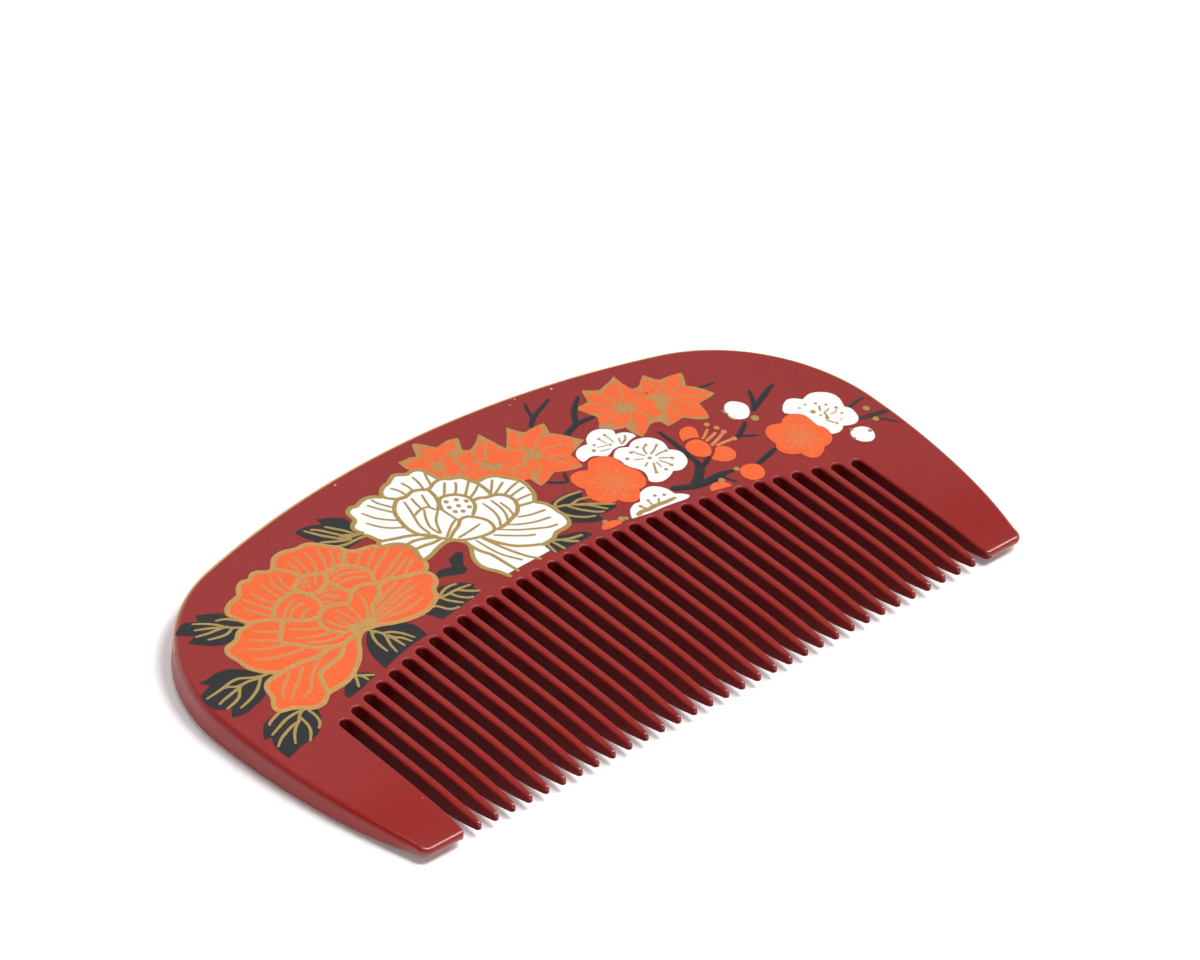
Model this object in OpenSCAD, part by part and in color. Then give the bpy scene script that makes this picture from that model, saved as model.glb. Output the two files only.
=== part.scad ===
// Lacquered hair comb, one piece: a half-moon back with 32 teeth between two broad guards.
// It lies on its lower face at Z = 0, teeth towards -Y. The origin is the middle of its underside.

/* [Outline] */
// Overall width across the shoulders
comb_w = 100.2; // [96:0.2:104]
// Height from the tooth tips to the top of the back
comb_h = 53.3; // [52.8:0.1:56]
// Radius of the long arc along the back
back_r = 126.3; // [116:0.1:140]
// Radius of the two shoulders
shoulder_r = 21.4; // [18:0.2:22]
// Radius of the two sides, from the shoulders to the guard ends
side_r = 85; // [65:1:110]
// Distance from the tooth tips up to the widest place
widest_y = 27; // [24:0.1:27.5]
// Radius of the outer corner of each guard end
corner_r = 1.8; // [1.2:0.1:3]

/* [Thickness] */
// Thickness where the two faces would reach the tooth tips
tip_t = 2.4; // [2:0.05:3]
// Thickness at the top of the back
back_t = 4.6; // [4:0.1:6]
// Radius of the rounded rim edges
rim_r = 0.75; // [0.5:0.05:0.9]
// Thickness of the tooth and guard ends
end_t = 1; // [0.8:0.05:1.4]
// Length over which they thin down to that, measured from the tips
thin_l = 11; // [8:0.5:14]
// How far the middle of the ends lies above the comb's middle plane
end_lift = 0.25; // [0:0.05:0.3]
// Length of the rounding of the ends themselves
nose_l = 0.8; // [0.5:0.05:1.2]

/* [Teeth] */
// Number of teeth between the two guards
teeth = 32; // [20:1:32]
// Distance from one tooth to the next
tooth_pitch = 2.45; // [2:0.05:2.5]
// Width of the slot between two teeth
slot_w = 1.52; // [1.2:0.02:1.6]
// Length of the middle slot
slot_l = 27.5; // [25:0.1:30]
// Radius of the arc on which the slots end
root_arc_r = 118; // [100:1:160]
// Sideways shift of the row of teeth from the middle of the comb
teeth_shift = -0.1; // [-0.4:0.05:0.4]
// Width of a tooth at its very tip
tip_w = 0.44; // [0.3:0.02:0.6]
// Length over which a tooth narrows to its tip
taper_l = 3.3; // [2:0.1:4]

/* [Hidden] */

// Segments of the outline: guard corner, thinning length, rest of the side, shoulder, back
corner_segs = 4;
thin_segs = 6;
side_segs = 3;
shoulder_segs = 9;
back_segs = 7;
// Segments of a quarter of the rim's rounding, of a rounded end and of a tooth's taper
rim_segs = 4;
nose_segs = 6;
taper_segs = 4;
// Segments of the round end of a slot, which is a true arc from 13 up
root_segs = 32;
// How far cutting shapes run past what they cut
past = 2;
// The rim shape starts this little below the tips, and its rounding runs this little over the faces
end_clear = 0.8;
rim_over = 1.5;
// Largest part of half the thickness that the rim's rounding takes up
rim_share = 0.9;

slots = teeth + 1;
// Change of thickness for each millimetre towards the back
wedge = (back_t - tip_t) / comb_h;
// The lower face leans by this angle to the middle plane
lean = atan(wedge / 2);
// Outermost places of the leaning comb, front and back, which the origin lies between
front_y = -(tip_t / 2 + end_lift) * sin(lean);
rear_y = comb_h * cos(lean) + (back_t / 2 - rim_r - tip_t / 2) * sin(lean);

// Share of the thinning at distance y from the tips: all of it at the tips, none from thin_l on
function thinning(y) = max(1 - y / thin_l, 0) ^ 2;

// Half the thickness at distance y from the tips, and the height of its middle
function half_t(y) = (tip_t + wedge * y - (tip_t - end_t) * thinning(y)) / 2;
function mid_z(y) = end_lift * thinning(y);

// Centres of the arcs. Each arc is tangent to the next one.
side_c = [comb_w / 2 - side_r, widest_y];
back_c = [0, comb_h - back_r];
side_reach = side_r - shoulder_r;
back_reach = back_r - shoulder_r;
centres_gap = norm(back_c - side_c);
along = (side_reach ^ 2 - back_reach ^ 2 + centres_gap ^ 2) / (2 * centres_gap);
across = sqrt(side_reach ^ 2 - along ^ 2);
gap_dir = (back_c - side_c) / centres_gap;
shoulder_c = side_c + along * gap_dir + across * [-gap_dir[1], gap_dir[0]];
corner_y = corner_r - end_clear;
corner_c = [side_c[0] + sqrt((side_r - corner_r) ^ 2 - (corner_y - widest_y) ^ 2), corner_y];

// Directions in which one arc hands over to the next
function heading(v) = atan2(v[1], v[0]);
corner_to_side = heading(corner_c - side_c);
side_at_thin = asin((thin_l - widest_y) / side_r);
side_to_shoulder = heading(shoulder_c - side_c);
shoulder_to_back = heading(shoulder_c - back_c);

// Right half of the outline as [point, outward angle], from the guard end to the top of the back
function half_arc(c, r, from, to, n) =
    [for (i = [1:n]) let (a = from + (to - from) * i / n) [c + r * [cos(a), sin(a)], a]];
right_half = concat(
    [[corner_c + [0, -corner_r], -90]],
    half_arc(corner_c, corner_r, -90, corner_to_side, corner_segs),
    half_arc(side_c, side_r, corner_to_side, side_at_thin, thin_segs),
    half_arc(side_c, side_r, side_at_thin, 0, side_segs),
    half_arc(side_c, side_r, 0, side_to_shoulder, 1),
    half_arc(shoulder_c, shoulder_r, side_to_shoulder, shoulder_to_back, shoulder_segs),
    half_arc(back_c, back_r, shoulder_to_back, 90, back_segs)
);
// The left half mirrors it, without the shared point at the top
left_half = [for (i = [len(right_half) - 2:-1:0])
    let (p = right_half[i][0]) [[-p[0], p[1]], 180 - right_half[i][1]]];
outline = concat(right_half, left_half);

// Section of the rim, for a rounding of 1: [inset from the outline, drop from the face], face to wall
last_in = 1 - sin(90 / rim_segs);
last_drop = 1 - cos(90 / rim_segs);
rim_section = concat(
    [[last_in + (1 - last_in) * rim_over, last_drop * (1 - rim_over)]],
    [for (i = [rim_segs - 1:-1:0]) let (a = 90 * i / rim_segs) [1 - cos(a), 1 - sin(a)]]
);

// Rings of points round the outline: side is 1 above the middle and -1 below it
function inset(o, section) = o[0] - rim_r * section[0] * [cos(o[1]), sin(o[1])];
function ring(section, side) =
    [for (o = outline)
        let (
            p = inset(o, section),
            drop = section[1] * min(rim_r, rim_share * half_t(p[1]))
        )
        [p[0], p[1], mid_z(p[1]) + side * (half_t(p[1]) - drop)]];
function flat_ring(section, z) = [for (o = outline) let (p = inset(o, section)) [p[0], p[1], z]];

// Solid with the comb's outline and rounded rim, taller than the comb inside the rim
module rim_shape() {
    n = len(outline);
    depth = len(rim_section);
    rings = concat(
        [flat_ring(rim_section[0], -back_t)],
        [for (s = rim_section) ring(s, -1)],
        [for (i = [depth - 1:-1:0]) ring(rim_section[i], 1)],
        [flat_ring(rim_section[0], back_t)]
    );
    last = len(rings) - 1;
    polyhedron(
        points = [for (r = rings) each r],
        faces = concat(
            [[for (i = [0:n - 1]) i]],
            [for (j = [0:last - 1], i = [0:n - 1]) [j * n + i, (j + 1) * n + i, (j + 1) * n + (i + 1) % n]],
            [for (j = [0:last - 1], i = [0:n - 1]) [j * n + i, (j + 1) * n + (i + 1) % n, j * n + (i + 1) % n]],
            [[for (i = [n - 1:-1:0]) last * n + i]]
        )
    );
}

// Side view of the comb: an elliptic nose, the thinning ends, and two flat faces up to the back
function face_line(side) =
    [for (i = [1:thin_segs]) let (y = nose_l + (thin_l - nose_l) * i / thin_segs)
        [y, mid_z(y) + side * half_t(y)]];
module side_view() {
    nose = [for (i = [-nose_segs:nose_segs]) let (a = 90 * i / nose_segs)
        [nose_l * (1 - cos(a)), mid_z(nose_l) + half_t(nose_l) * sin(a)]];
    far = comb_h + past;
    under = face_line(-1);
    polygon(concat(
        nose,
        face_line(1),
        [[far, half_t(far)], [far, -half_t(far)]],
        [for (i = [thin_segs - 1:-1:0]) under[i]]
    ));
}

module blank() {
    intersection() {
        rim_shape();
        rotate([90, 0, 90])
            linear_extrude(height = comb_w + 2 * past, center = true)
                side_view();
    }
}

// Distance from the tips to the end of the slot whose middle is x from the middle slot
function slot_end(x) = slot_l - (root_arc_r - sqrt(root_arc_r ^ 2 - x ^ 2));

// Half width of a slot at distance y from the tips: it opens where the teeth narrow
function half_gap(y) =
    let (narrowing = (tooth_pitch - slot_w - tip_w) / 2)
    slot_w / 2 + narrowing * (1 - y / taper_l) ^ 2;

// Plan of one slot, with a round end towards the back
module slot_plan(end) {
    wall = [for (i = [0:taper_segs]) let (y = taper_l * i / taper_segs) [half_gap(y), y]];
    right = concat([[half_gap(0), -past]], wall, [[slot_w / 2, end - slot_w / 2]]);
    left = [for (i = [len(right) - 1:-1:0]) [-right[i][0], right[i][1]]];
    polygon(concat(right, left));
    translate([0, end - slot_w / 2])
        circle(d = slot_w, $fn = root_segs);
}

module slot_row() {
    for (i = [0:slots - 1]) {
        x = (i - (slots - 1) / 2) * tooth_pitch;
        translate([teeth_shift + x, 0, -back_t])
            linear_extrude(height = 2 * back_t)
                slot_plan(slot_end(x));
    }
}

module comb() {
    color([0.58, 0.1, 0.13])
        translate([0, -(front_y + rear_y) / 2, 0])
            rotate([lean, 0, 0])
                translate([0, 0, tip_t / 2])
                    difference() {
                        blank();
                        slot_row();
                    }
}

comb();
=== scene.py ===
# %% [markdown]
# # A red lacquered hair comb with painted flowers
# The real comb is one blank: a half-moon back, two broad guards and 32 fine teeth between them. It is
# lacquered red, and flowers and leaves are painted on its upper face in orange, white, black and gold.
# This lesson loads the comb's plain solid as a fixed frame, and builds its finer surface and its painting
# on it.

# %% Open the frame
import math

import bpy
import numpy as np
from mathutils import Matrix, Vector
from mathutils.geometry import tessellate_polygon


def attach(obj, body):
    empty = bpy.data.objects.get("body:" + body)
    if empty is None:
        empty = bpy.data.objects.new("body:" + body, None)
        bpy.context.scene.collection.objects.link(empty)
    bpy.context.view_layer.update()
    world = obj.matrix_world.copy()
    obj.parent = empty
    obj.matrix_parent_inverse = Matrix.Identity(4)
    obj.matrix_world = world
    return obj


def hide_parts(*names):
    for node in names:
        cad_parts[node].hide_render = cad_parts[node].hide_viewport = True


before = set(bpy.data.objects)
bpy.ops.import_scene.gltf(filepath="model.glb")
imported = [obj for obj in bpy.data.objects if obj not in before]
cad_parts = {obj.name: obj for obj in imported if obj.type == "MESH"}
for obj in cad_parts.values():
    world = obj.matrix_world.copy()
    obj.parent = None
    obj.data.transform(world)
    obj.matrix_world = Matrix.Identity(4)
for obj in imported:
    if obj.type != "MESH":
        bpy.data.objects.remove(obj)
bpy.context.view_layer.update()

print("frame nodes:", sorted(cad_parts))

# %% [markdown]
# ## The sizes of the comb
# All sizes here are real ones in millimetres. A place on the comb is given by x, across the teeth from the
# comb's middle, and y, from the tooth tips towards the back. Heights are measured from the plane in the
# middle of its thickness. The same sizes made the solid, so the finer surface fits it everywhere.

# %% Sizes of the outline
# Width over the shoulders, and height from the tooth tips to the top of the back
comb_w, comb_h = 100.2, 53.3
# Radii of the back, the shoulders and the sides, and where the comb is widest
back_r, shoulder_r, side_r = 126.3, 21.4, 85.0
widest_y = 27.0
# Radii of the two corners of a guard's end
outer_corner_r, inner_corner_r = 1.6, 0.55
print("outline:", comb_w, "by", comb_h, "mm")

# %% Sizes of the thickness
# Thickness where the faces would reach the tips, at the top of the back, and of the thinned ends
tip_t, back_t, end_t = 2.4, 4.6, 1.0
# Length of the thinning and of the round nose, and how far the ends lie above the middle plane
thin_l, nose_l, end_lift = 11.0, 0.8, 0.25
# Radii of the rounded rim and slot edges, and the largest share of half the thickness that they take
rim_r, slot_edge_r = 0.75, 0.24
rim_share = 0.9
wedge = (back_t - tip_t) / comb_h
lean = math.atan(wedge / 2)
print("lean of a face:", round(math.degrees(lean), 2), "degrees")

# %% Sizes of the teeth
# Number of teeth, distance from one to the next, and sideways shift of the row
teeth, tooth_pitch, teeth_shift = 32, 2.45, -0.1
# Width of a slot, length of the middle one, and radius of the arc on which the slots end
slot_w, slot_l, root_arc_r = 1.52, 27.5, 118.0
# Width of a tooth at its tip, and lengths of its taper and of its round end
tip_w, taper_l, tip_round = 0.44, 3.3, 0.42
slots = teeth + 1
print("teeth:", teeth, "slots:", slots)

# %% Thickness along the comb
def thinning(y):
    """Share of the thinning at y: all of it at the tips, none from thin_l on."""
    return np.maximum(1 - y / thin_l, 0) ** 2


def half_t(y):
    """Half the thickness at y. It closes to a round nose at the very end."""
    body = np.maximum(y, nose_l)
    half = (tip_t + wedge * body - (tip_t - end_t) * thinning(body)) / 2
    return half * np.sqrt(1 - np.maximum(1 - y / nose_l, 0) ** 2)


def mid_z(y):
    """Height of the middle of the thickness, which rises a little towards the ends."""
    return end_lift * thinning(np.maximum(y, nose_l))


def face_slope(y, side):
    """Slope along y of the upper face, side 1, or of the lower one, side -1."""
    near = 1e-3
    ahead = mid_z(y + near) + side * half_t(y + near)
    behind = mid_z(y - near) + side * half_t(y - near)
    return (ahead - behind) / (2 * near)


print("thickness at 1, 20 and 52 mm from the tips:", [round(float(2 * half_t(y)), 2) for y in (1, 20, 52)])

# %% [markdown]
# ## From the comb's own plane to the room
# The comb is a thin wedge that lies on its lower face, so its middle plane leans by about a degree.
# Everything is drawn square to the middle plane, and one turn and one shift then lay it on the table.

# %% Lay points on the table
front_y = -(tip_t / 2 + end_lift) * math.sin(lean)
rear_y = comb_h * math.cos(lean) + (back_t / 2 - rim_r - tip_t / 2) * math.sin(lean)
lay_down = np.array([
    [1, 0, 0],
    [0, math.cos(lean), -math.sin(lean)],
    [0, math.sin(lean), math.cos(lean)],
])


def laid(points):
    """Points of the comb in millimetres, as points of the room in metres."""
    leaning = (np.asarray(points, float) + [0, 0, tip_t / 2]) @ lay_down.T
    return (leaning - [0, (front_y + rear_y) / 2, 0]) / 1000


def turned(directions):
    """Directions on the comb, as directions in the room."""
    return np.asarray(directions, float) @ lay_down.T


print("top of the back in the room, in metres:", laid([(0, comb_h, back_t / 2)])[0].round(4))

# %% [markdown]
# ## Rounded edges
# Lacquer never leaves a sharp edge: it draws back from it and the maker rubs it round. Each edge here is a
# column of points that runs from the upper face over the rounding, down the wall and under to the lower face.
# Columns stand side by side along every wall, and quads join them. Each point also keeps the true direction
# of the surface, so that a few points give a smooth shine. A bevel modifier would be quicker, but it fails in
# the narrow teeth.

# %% One column of points over an edge
# Steps in a quarter turn, and the nearest place to the tips where a face still has a slope
round_steps = 5
near_tip = 2e-3
turn_angles = [math.radians(90 * (1 - i / round_steps)) for i in range(round_steps + 1)]
column_angles = turn_angles + [-a for a in reversed(turn_angles)]
column_size = len(column_angles)


def unit(v):
    return v / np.linalg.norm(v)


def edge_column(x, y, out, push, width, height):
    """Points and surface directions over the edge at x, y.

    out is the way that the wall looks, and the rounding draws back from the wall against push.
    """
    points, directions = [], []
    for a in column_angles:
        side = 1 if a > 0 or (a == 0 and len(points) <= round_steps) else -1
        inset = width * (1 - math.cos(a))
        px, py = x - push[0] * inset, y - push[1] * inset
        half, slope = float(half_t(py)), float(face_slope(max(py, near_tip), side))
        rise = min(height, rim_share * half)
        z = float(mid_z(py)) + side * (half - rise * (1 - abs(math.sin(a))))
        wall = unit(np.array([out[0], out[1], 0.0]))
        face = unit(np.array([0, -side * slope, side]))
        points.append((px, py, z))
        directions.append(unit(rise * math.cos(a) * wall + width * abs(math.sin(a)) * face))
    return points, directions


print("points in a column:", column_size)

# %% A store for the comb's points
comb_points, comb_directions, comb_faces = [], [], []
# Numbers of the faces on the walls of the slots
slot_faces = []


def add_column(*column):
    """Adds an edge column, and gives the numbers of its points."""
    points, directions = edge_column(*column)
    first = len(comb_points)
    comb_points.extend(points)
    comb_directions.extend(directions)
    return list(range(first, first + column_size))


def join(left, right, in_slot=False):
    """Quads between two columns that stand side by side along a wall."""
    for i in range(column_size - 1):
        if in_slot and i >= round_steps:
            slot_faces.append(len(comb_faces))
        comb_faces.append((left[i], left[i + 1], right[i + 1], right[i]))

# %% [markdown]
# ## Teeth and guards
# A tooth and a guard are both fingers. A finger is a row of cross-sections from its end up to a line across
# all the fingers, above which the two faces are flat. The sections stand closer together towards the end,
# where the tooth narrows to a small round tip and both faces run down into its nose. An extruded outline
# would be simpler, but then neither the taper nor the round tip could follow the thinning of the comb.

# %% Walls of the slots and of the outline
def half_gap(y):
    """Half the width of a slot at y: it opens where the teeth narrow."""
    narrowing = (tooth_pitch - slot_w - tip_w) / 2
    return slot_w / 2 + narrowing * max(1 - y / taper_l, 0) ** 2


def slot_x(i):
    """Middle of slot i, counted from the left."""
    return teeth_shift + (i - (slots - 1) / 2) * tooth_pitch


def corner_cut(y, r):
    """How far a rounded corner of radius r takes the wall in at y."""
    return r - math.sqrt(max(r * r - max(r - y, 0) ** 2, 0))


def outer_x(y):
    """Outer wall of the right guard."""
    side_x = comb_w / 2 - side_r + math.sqrt(side_r ** 2 - (max(y, outer_corner_r) - widest_y) ** 2)
    return side_x - corner_cut(y, outer_corner_r)


def tooth_half(y):
    """Half the width of a tooth, which closes to a round tip."""
    return (tooth_pitch / 2 - half_gap(y)) * math.sqrt(1 - max(1 - y / tip_round, 0) ** 2)


print("middle of the first and last slot:", round(slot_x(0), 2), round(slot_x(slots - 1), 2))

# %% Left and right wall of each finger
def finger_walls(finger, y):
    """x of both walls of a finger at y. Finger 0 is the left guard, and the last one is the right guard."""
    if 0 < finger < slots:
        middle = slot_x(finger) - tooth_pitch / 2
        return middle - tooth_half(y), middle + tooth_half(y)
    if finger == 0:
        return -outer_x(y), slot_x(0) - half_gap(y) - corner_cut(y, inner_corner_r)
    return slot_x(slots - 1) + half_gap(y) + corner_cut(y, inner_corner_r), outer_x(y)


def wall_slope(finger, y, side):
    """Change of a wall's x along y."""
    near, least_y = 1e-3, 1e-4
    ahead, behind = y + near, max(y - near, least_y)
    return (finger_walls(finger, ahead)[side] - finger_walls(finger, behind)[side]) / (ahead - behind)


print("width of a tooth at 1 and 10 mm:", [round(2 * tooth_half(y), 2) for y in (1, 10)])

# %% Sections of every finger
# The faces are flat from here on. The first section keeps off the very end, so that it has an area.
flat_from = 12.0
first_section = 0.004
nose_steps = 8
nose_ys = [nose_l * (1 - math.cos(math.pi / 2 * i / nose_steps)) for i in range(1, nose_steps + 1)]
section_ys = [first_section] + nose_ys + [1.1, 1.5, 2.0, 2.6, 3.3, 4.2, 5.5, 7.0, 9.0, 11.0, flat_from]
# Largest share of a finger's width that the rounding of one edge takes
edge_share = 0.45


def finger_column(finger, y, side):
    """One edge column of a finger's section, on its left wall, side 0, or on its right one, side 1."""
    walls = finger_walls(finger, y)
    sign = (-1, 1)[side]
    outer = (finger, side) in ((0, 0), (slots, 1))
    radius = rim_r if outer else slot_edge_r
    room = edge_share * (walls[1] - walls[0])
    out = (sign, -sign * wall_slope(finger, y, side))
    return add_column(walls[side], y, out, (sign, 0), min(radius, room), radius)


def join_sections(previous, ring, finger):
    """Quads between two sections of a finger. The numbers of those on a slot's wall are kept."""
    n = len(ring)
    for i in range(n):
        j = (i + 1) % n
        on_left = finger > 0 and round_steps <= i < column_size - 1
        on_right = finger < slots and column_size <= i < n - 1 - round_steps
        if on_left or on_right:
            slot_faces.append(len(comb_faces))
        comb_faces.append((previous[i], ring[i], ring[j], previous[j]))


print("sections in a finger:", len(section_ys))

# %% Build the fingers
top_columns = []
for finger in range(slots + 1):
    previous = None
    for y in section_ys:
        left, right = finger_column(finger, y, 0), finger_column(finger, y, 1)
        ring = left + right[::-1]
        if previous is None:
            comb_faces.append(tuple(ring))
        else:
            join_sections(previous, ring, finger)
        previous = ring
    top_columns.append((left, right))
print("points of the fingers:", len(comb_points))

# %% [markdown]
# ## The body above the teeth
# Above that line both faces are flat, so each is one large polygon with 33 slots in its edge. Its border is
# walked once round: along the side, the shoulder and the back, and then in and out of each slot. Each step
# of the walk sets one column, and the two faces are filled in last.

# %% Arcs of the outline
# Centres of the arcs. Each arc is tangent to the next one.
side_c = np.array([comb_w / 2 - side_r, widest_y])
back_c = np.array([0, comb_h - back_r])
centres_gap = float(np.linalg.norm(back_c - side_c))
side_reach, back_reach = side_r - shoulder_r, back_r - shoulder_r
along = (side_reach ** 2 - back_reach ** 2 + centres_gap ** 2) / (2 * centres_gap)
across = math.sqrt(side_reach ** 2 - along ** 2)
gap_dir = (back_c - side_c) / centres_gap
shoulder_c = side_c + along * gap_dir + across * np.array([-gap_dir[1], gap_dir[0]])
print("middle of the right shoulder's arc:", shoulder_c.round(2))

# %% Border of the right half, from the side to the top of the back
def heading(v):
    return math.atan2(v[1], v[0])


def arc(centre, radius, start, end, steps):
    """Places along an arc as x, y and the outward angle, without its first one."""
    angles = [start + (end - start) * i / steps for i in range(1, steps + 1)]
    return [(centre[0] + radius * math.cos(a), centre[1] + radius * math.sin(a), a) for a in angles]


side_start = math.asin((flat_from - widest_y) / side_r)
side_to_shoulder = heading(shoulder_c - side_c)
shoulder_to_back = heading(shoulder_c - back_c)
side_steps, shoulder_steps, back_steps = 12, 30, 24
right_half = (
    arc(side_c, side_r, side_start, side_to_shoulder, side_steps)
    + arc(shoulder_c, shoulder_r, side_to_shoulder, shoulder_to_back, shoulder_steps)
    + arc(back_c, back_r, shoulder_to_back, math.pi / 2, back_steps)
)
left_half = [(-x, y, math.pi - a) for x, y, a in right_half[-2::-1]]
print("places along the rim:", len(right_half + left_half))

# %% Columns along the rim and round a slot's end
root_steps = 16


def rim_column(x, y, angle):
    out = (math.cos(angle), math.sin(angle))
    return add_column(x, y, out, out, rim_r, rim_r)


def slot_end(x):
    """y of the end of the slot whose middle is at x."""
    return slot_l - (root_arc_r - math.sqrt(root_arc_r ** 2 - (x - teeth_shift) ** 2))


def root_columns(i):
    """Columns round the half circle in which slot i ends, from left to right."""
    x = slot_x(i)
    root_y = slot_end(x) - slot_w / 2
    columns = []
    for step in range(root_steps + 1):
        a = math.pi * (1 - step / root_steps)
        place = (x + slot_w / 2 * math.cos(a), root_y + slot_w / 2 * math.sin(a))
        into = (-math.cos(a), -math.sin(a))
        columns.append(add_column(*place, into, into, slot_edge_r, slot_edge_r))
    return columns


print("end of the first slot:", round(slot_end(slot_x(0)), 2), "mm from the tips")

# %% Walk round the border
rim = [rim_column(*place) for place in right_half + left_half]
around = [top_columns[slots][1]] + rim + [top_columns[0][0]]
for before, after in zip(around, around[1:]):
    join(before, after)
for i in range(slots):
    wall = [top_columns[i][1]] + root_columns(i) + [top_columns[i + 1][0]]
    for before, after in zip(wall, wall[1:]):
        join(before, after, in_slot=True)
    around.extend(wall)
print("columns round the border:", len(around))

# %% Fill the two flat faces
def fill(ring, upward):
    """Triangles over a ring of points, which look up or down."""
    corners = [Vector((comb_points[i][0], comb_points[i][1], 0)) for i in ring]
    for a, b, c in tessellate_polygon([corners]):
        clockwise = (corners[b] - corners[a]).cross(corners[c] - corners[a]).z < 0
        if clockwise == upward:
            b, c = c, b
        comb_faces.append((ring[a], ring[b], ring[c]))


fill([column[0] for column in around], True)
fill([column[-1] for column in around], False)
print("faces of the surface:", len(comb_faces))

# %% Make the comb's mesh
def piece_from(name, points, faces, directions):
    """A mesh piece that rides with the comb. Points are in millimetres on the comb."""
    mesh = bpy.data.meshes.new(name)
    mesh.from_pydata([tuple(p) for p in laid(points)], [], faces)
    mesh.shade_smooth()
    mesh.normals_split_custom_set_from_vertices([tuple(d) for d in turned(directions)])
    piece = bpy.data.objects.new(name, mesh)
    bpy.context.scene.collection.objects.link(piece)
    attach(piece, "root")
    return piece


comb = piece_from("lacquered_comb", comb_points, comb_faces, comb_directions)
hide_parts("comb")
print("points of the comb:", len(comb.data.vertices))

# %% [markdown]
# ## Red lacquer
# The lacquer is a deep, nearly pure red with a satin shine. Looked at closely it has a very fine mottle. The
# teeth are rubbed by hand and hair: they shine a little more than the face, and a thin clear coat on their
# tips glints. Their reds are made deeper and warmer than the face's: painted shade that takes out part of the
# pale sheen they catch. A picture texture could show all this, but it would need a map of the whole comb. So
# the colours come from shader nodes. The mottle is a node group, because the paints use the same one with
# their own values, and the place of the rubbed teeth, where the sheen is also painted out, is a second, small
# one.

# %% Helpers for shader nodes
def new_group(name, inputs, outputs):
    """A node group with number sockets: inputs as names with their first values, outputs as names."""
    group = bpy.data.node_groups.new(name, "ShaderNodeTree")
    for title, value in inputs.items():
        socket = group.interface.new_socket(title, in_out="INPUT", socket_type="NodeSocketFloat")
        socket.default_value = value
    for title in outputs:
        group.interface.new_socket(title, in_out="OUTPUT", socket_type="NodeSocketFloat")
    return group


def node(tree, kind, at, values=None, **settings):
    """A new node at a place in the tree, with its settings and the values of its inputs."""
    made = tree.nodes.new(kind)
    made.location = at
    for key, value in settings.items():
        setattr(made, key, value)
    for title, value in (values or {}).items():
        made.inputs[title].default_value = value
    return made


def new_material(name):
    """A material, its node tree and its Principled shader."""
    material = bpy.data.materials.new(name)
    material.use_nodes = True
    return material, material.node_tree, material.node_tree.nodes["Principled BSDF"]

# %% A group for fine mottle
def make_mottle():
    """Gives a fine grain and a coarse cloud, both as numbers round one half."""
    sizes = {"Grain Size": 1500, "Cloud Size": 90, "Strength": 0.5, "Cloud Strength": 0.5}
    group = new_group("fine_mottle", sizes, ["Mottle", "Cloud"])
    start = node(group, "NodeGroupInput", (-900, 0))
    end = node(group, "NodeGroupOutput", (600, 0))
    place = node(group, "ShaderNodeTexCoord", (-900, -250))
    for size, strength, out, detail, roughness, y in (
        ("Grain Size", "Strength", "Mottle", 4, 0.65, 150),
        ("Cloud Size", "Cloud Strength", "Cloud", 3, 0.5, -150),
    ):
        noise = node(group, "ShaderNodeTexNoise", (-600, y), {"Detail": detail, "Roughness": roughness})
        centred = node(group, "ShaderNodeMath", (-350, y), {1: 0.5}, operation="SUBTRACT")
        scaled = node(group, "ShaderNodeMath", (-150, y), operation="MULTIPLY")
        raised = node(group, "ShaderNodeMath", (50, y), {1: 0.5}, operation="ADD", use_clamp=True)
        group.links.new(place.outputs["Object"], noise.inputs["Vector"])
        group.links.new(start.outputs[size], noise.inputs["Scale"])
        group.links.new(noise.outputs["Fac"], centred.inputs[0])
        group.links.new(centred.outputs[0], scaled.inputs[0])
        group.links.new(start.outputs[strength], scaled.inputs[1])
        group.links.new(scaled.outputs[0], raised.inputs[0])
        group.links.new(raised.outputs[0], end.inputs[out])
    return group


mottle_group = make_mottle()
print("inputs of the mottle:", [item.name for item in mottle_group.interface.items_tree])

# %% A group that knows where hand and hair rub, and where the teeth's sheen is painted out
rubbed_share = 0.86
# How far the change reaches from the arc of the slot ends into the teeth and into the back
rub_in, rub_out = 12, 6


def make_rubbed_and_sheen():
    """Gives 1 on the face and a smaller share on the teeth, beyond the arc of the slot ends."""
    group = new_group("rubbed_and_sheen_teeth", {"Share": rubbed_share}, ["Rubbed"])
    start = node(group, "NodeGroupInput", (-600, -200))
    end = node(group, "NodeGroupOutput", (300, 0))
    place = node(group, "ShaderNodeTexCoord", (-600, 0))
    arc_middle = laid([(teeth_shift, slot_l - root_arc_r, 0)])[0]
    reach = node(group, "ShaderNodeVectorMath", (-350, 0), {1: arc_middle}, operation="DISTANCE")
    ends = {"From Min": (root_arc_r - rub_in) / 1000, "From Max": (root_arc_r + rub_out) / 1000}
    fade = node(group, "ShaderNodeMapRange", (0, 0), ends, interpolation_type="SMOOTHSTEP")
    group.links.new(place.outputs["Object"], reach.inputs[0])
    group.links.new(reach.outputs["Value"], fade.inputs["Value"])
    group.links.new(start.outputs["Share"], fade.inputs["To Min"])
    group.links.new(fade.outputs["Result"], end.inputs["Rubbed"])
    return group


rubbed_and_sheen_group = make_rubbed_and_sheen()
print("node groups:", [group.name for group in bpy.data.node_groups])

# %% What the lacquers and the paints share
def add_mottle(tree, grain, strength, cloud_size=90, cloud_strength=0.5):
    """The mottle group with its values."""
    values = {"Grain Size": grain, "Strength": strength}
    values.update({"Cloud Size": cloud_size, "Cloud Strength": cloud_strength})
    return node(tree, "ShaderNodeGroup", (-900, 0), values, node_tree=mottle_group)


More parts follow.
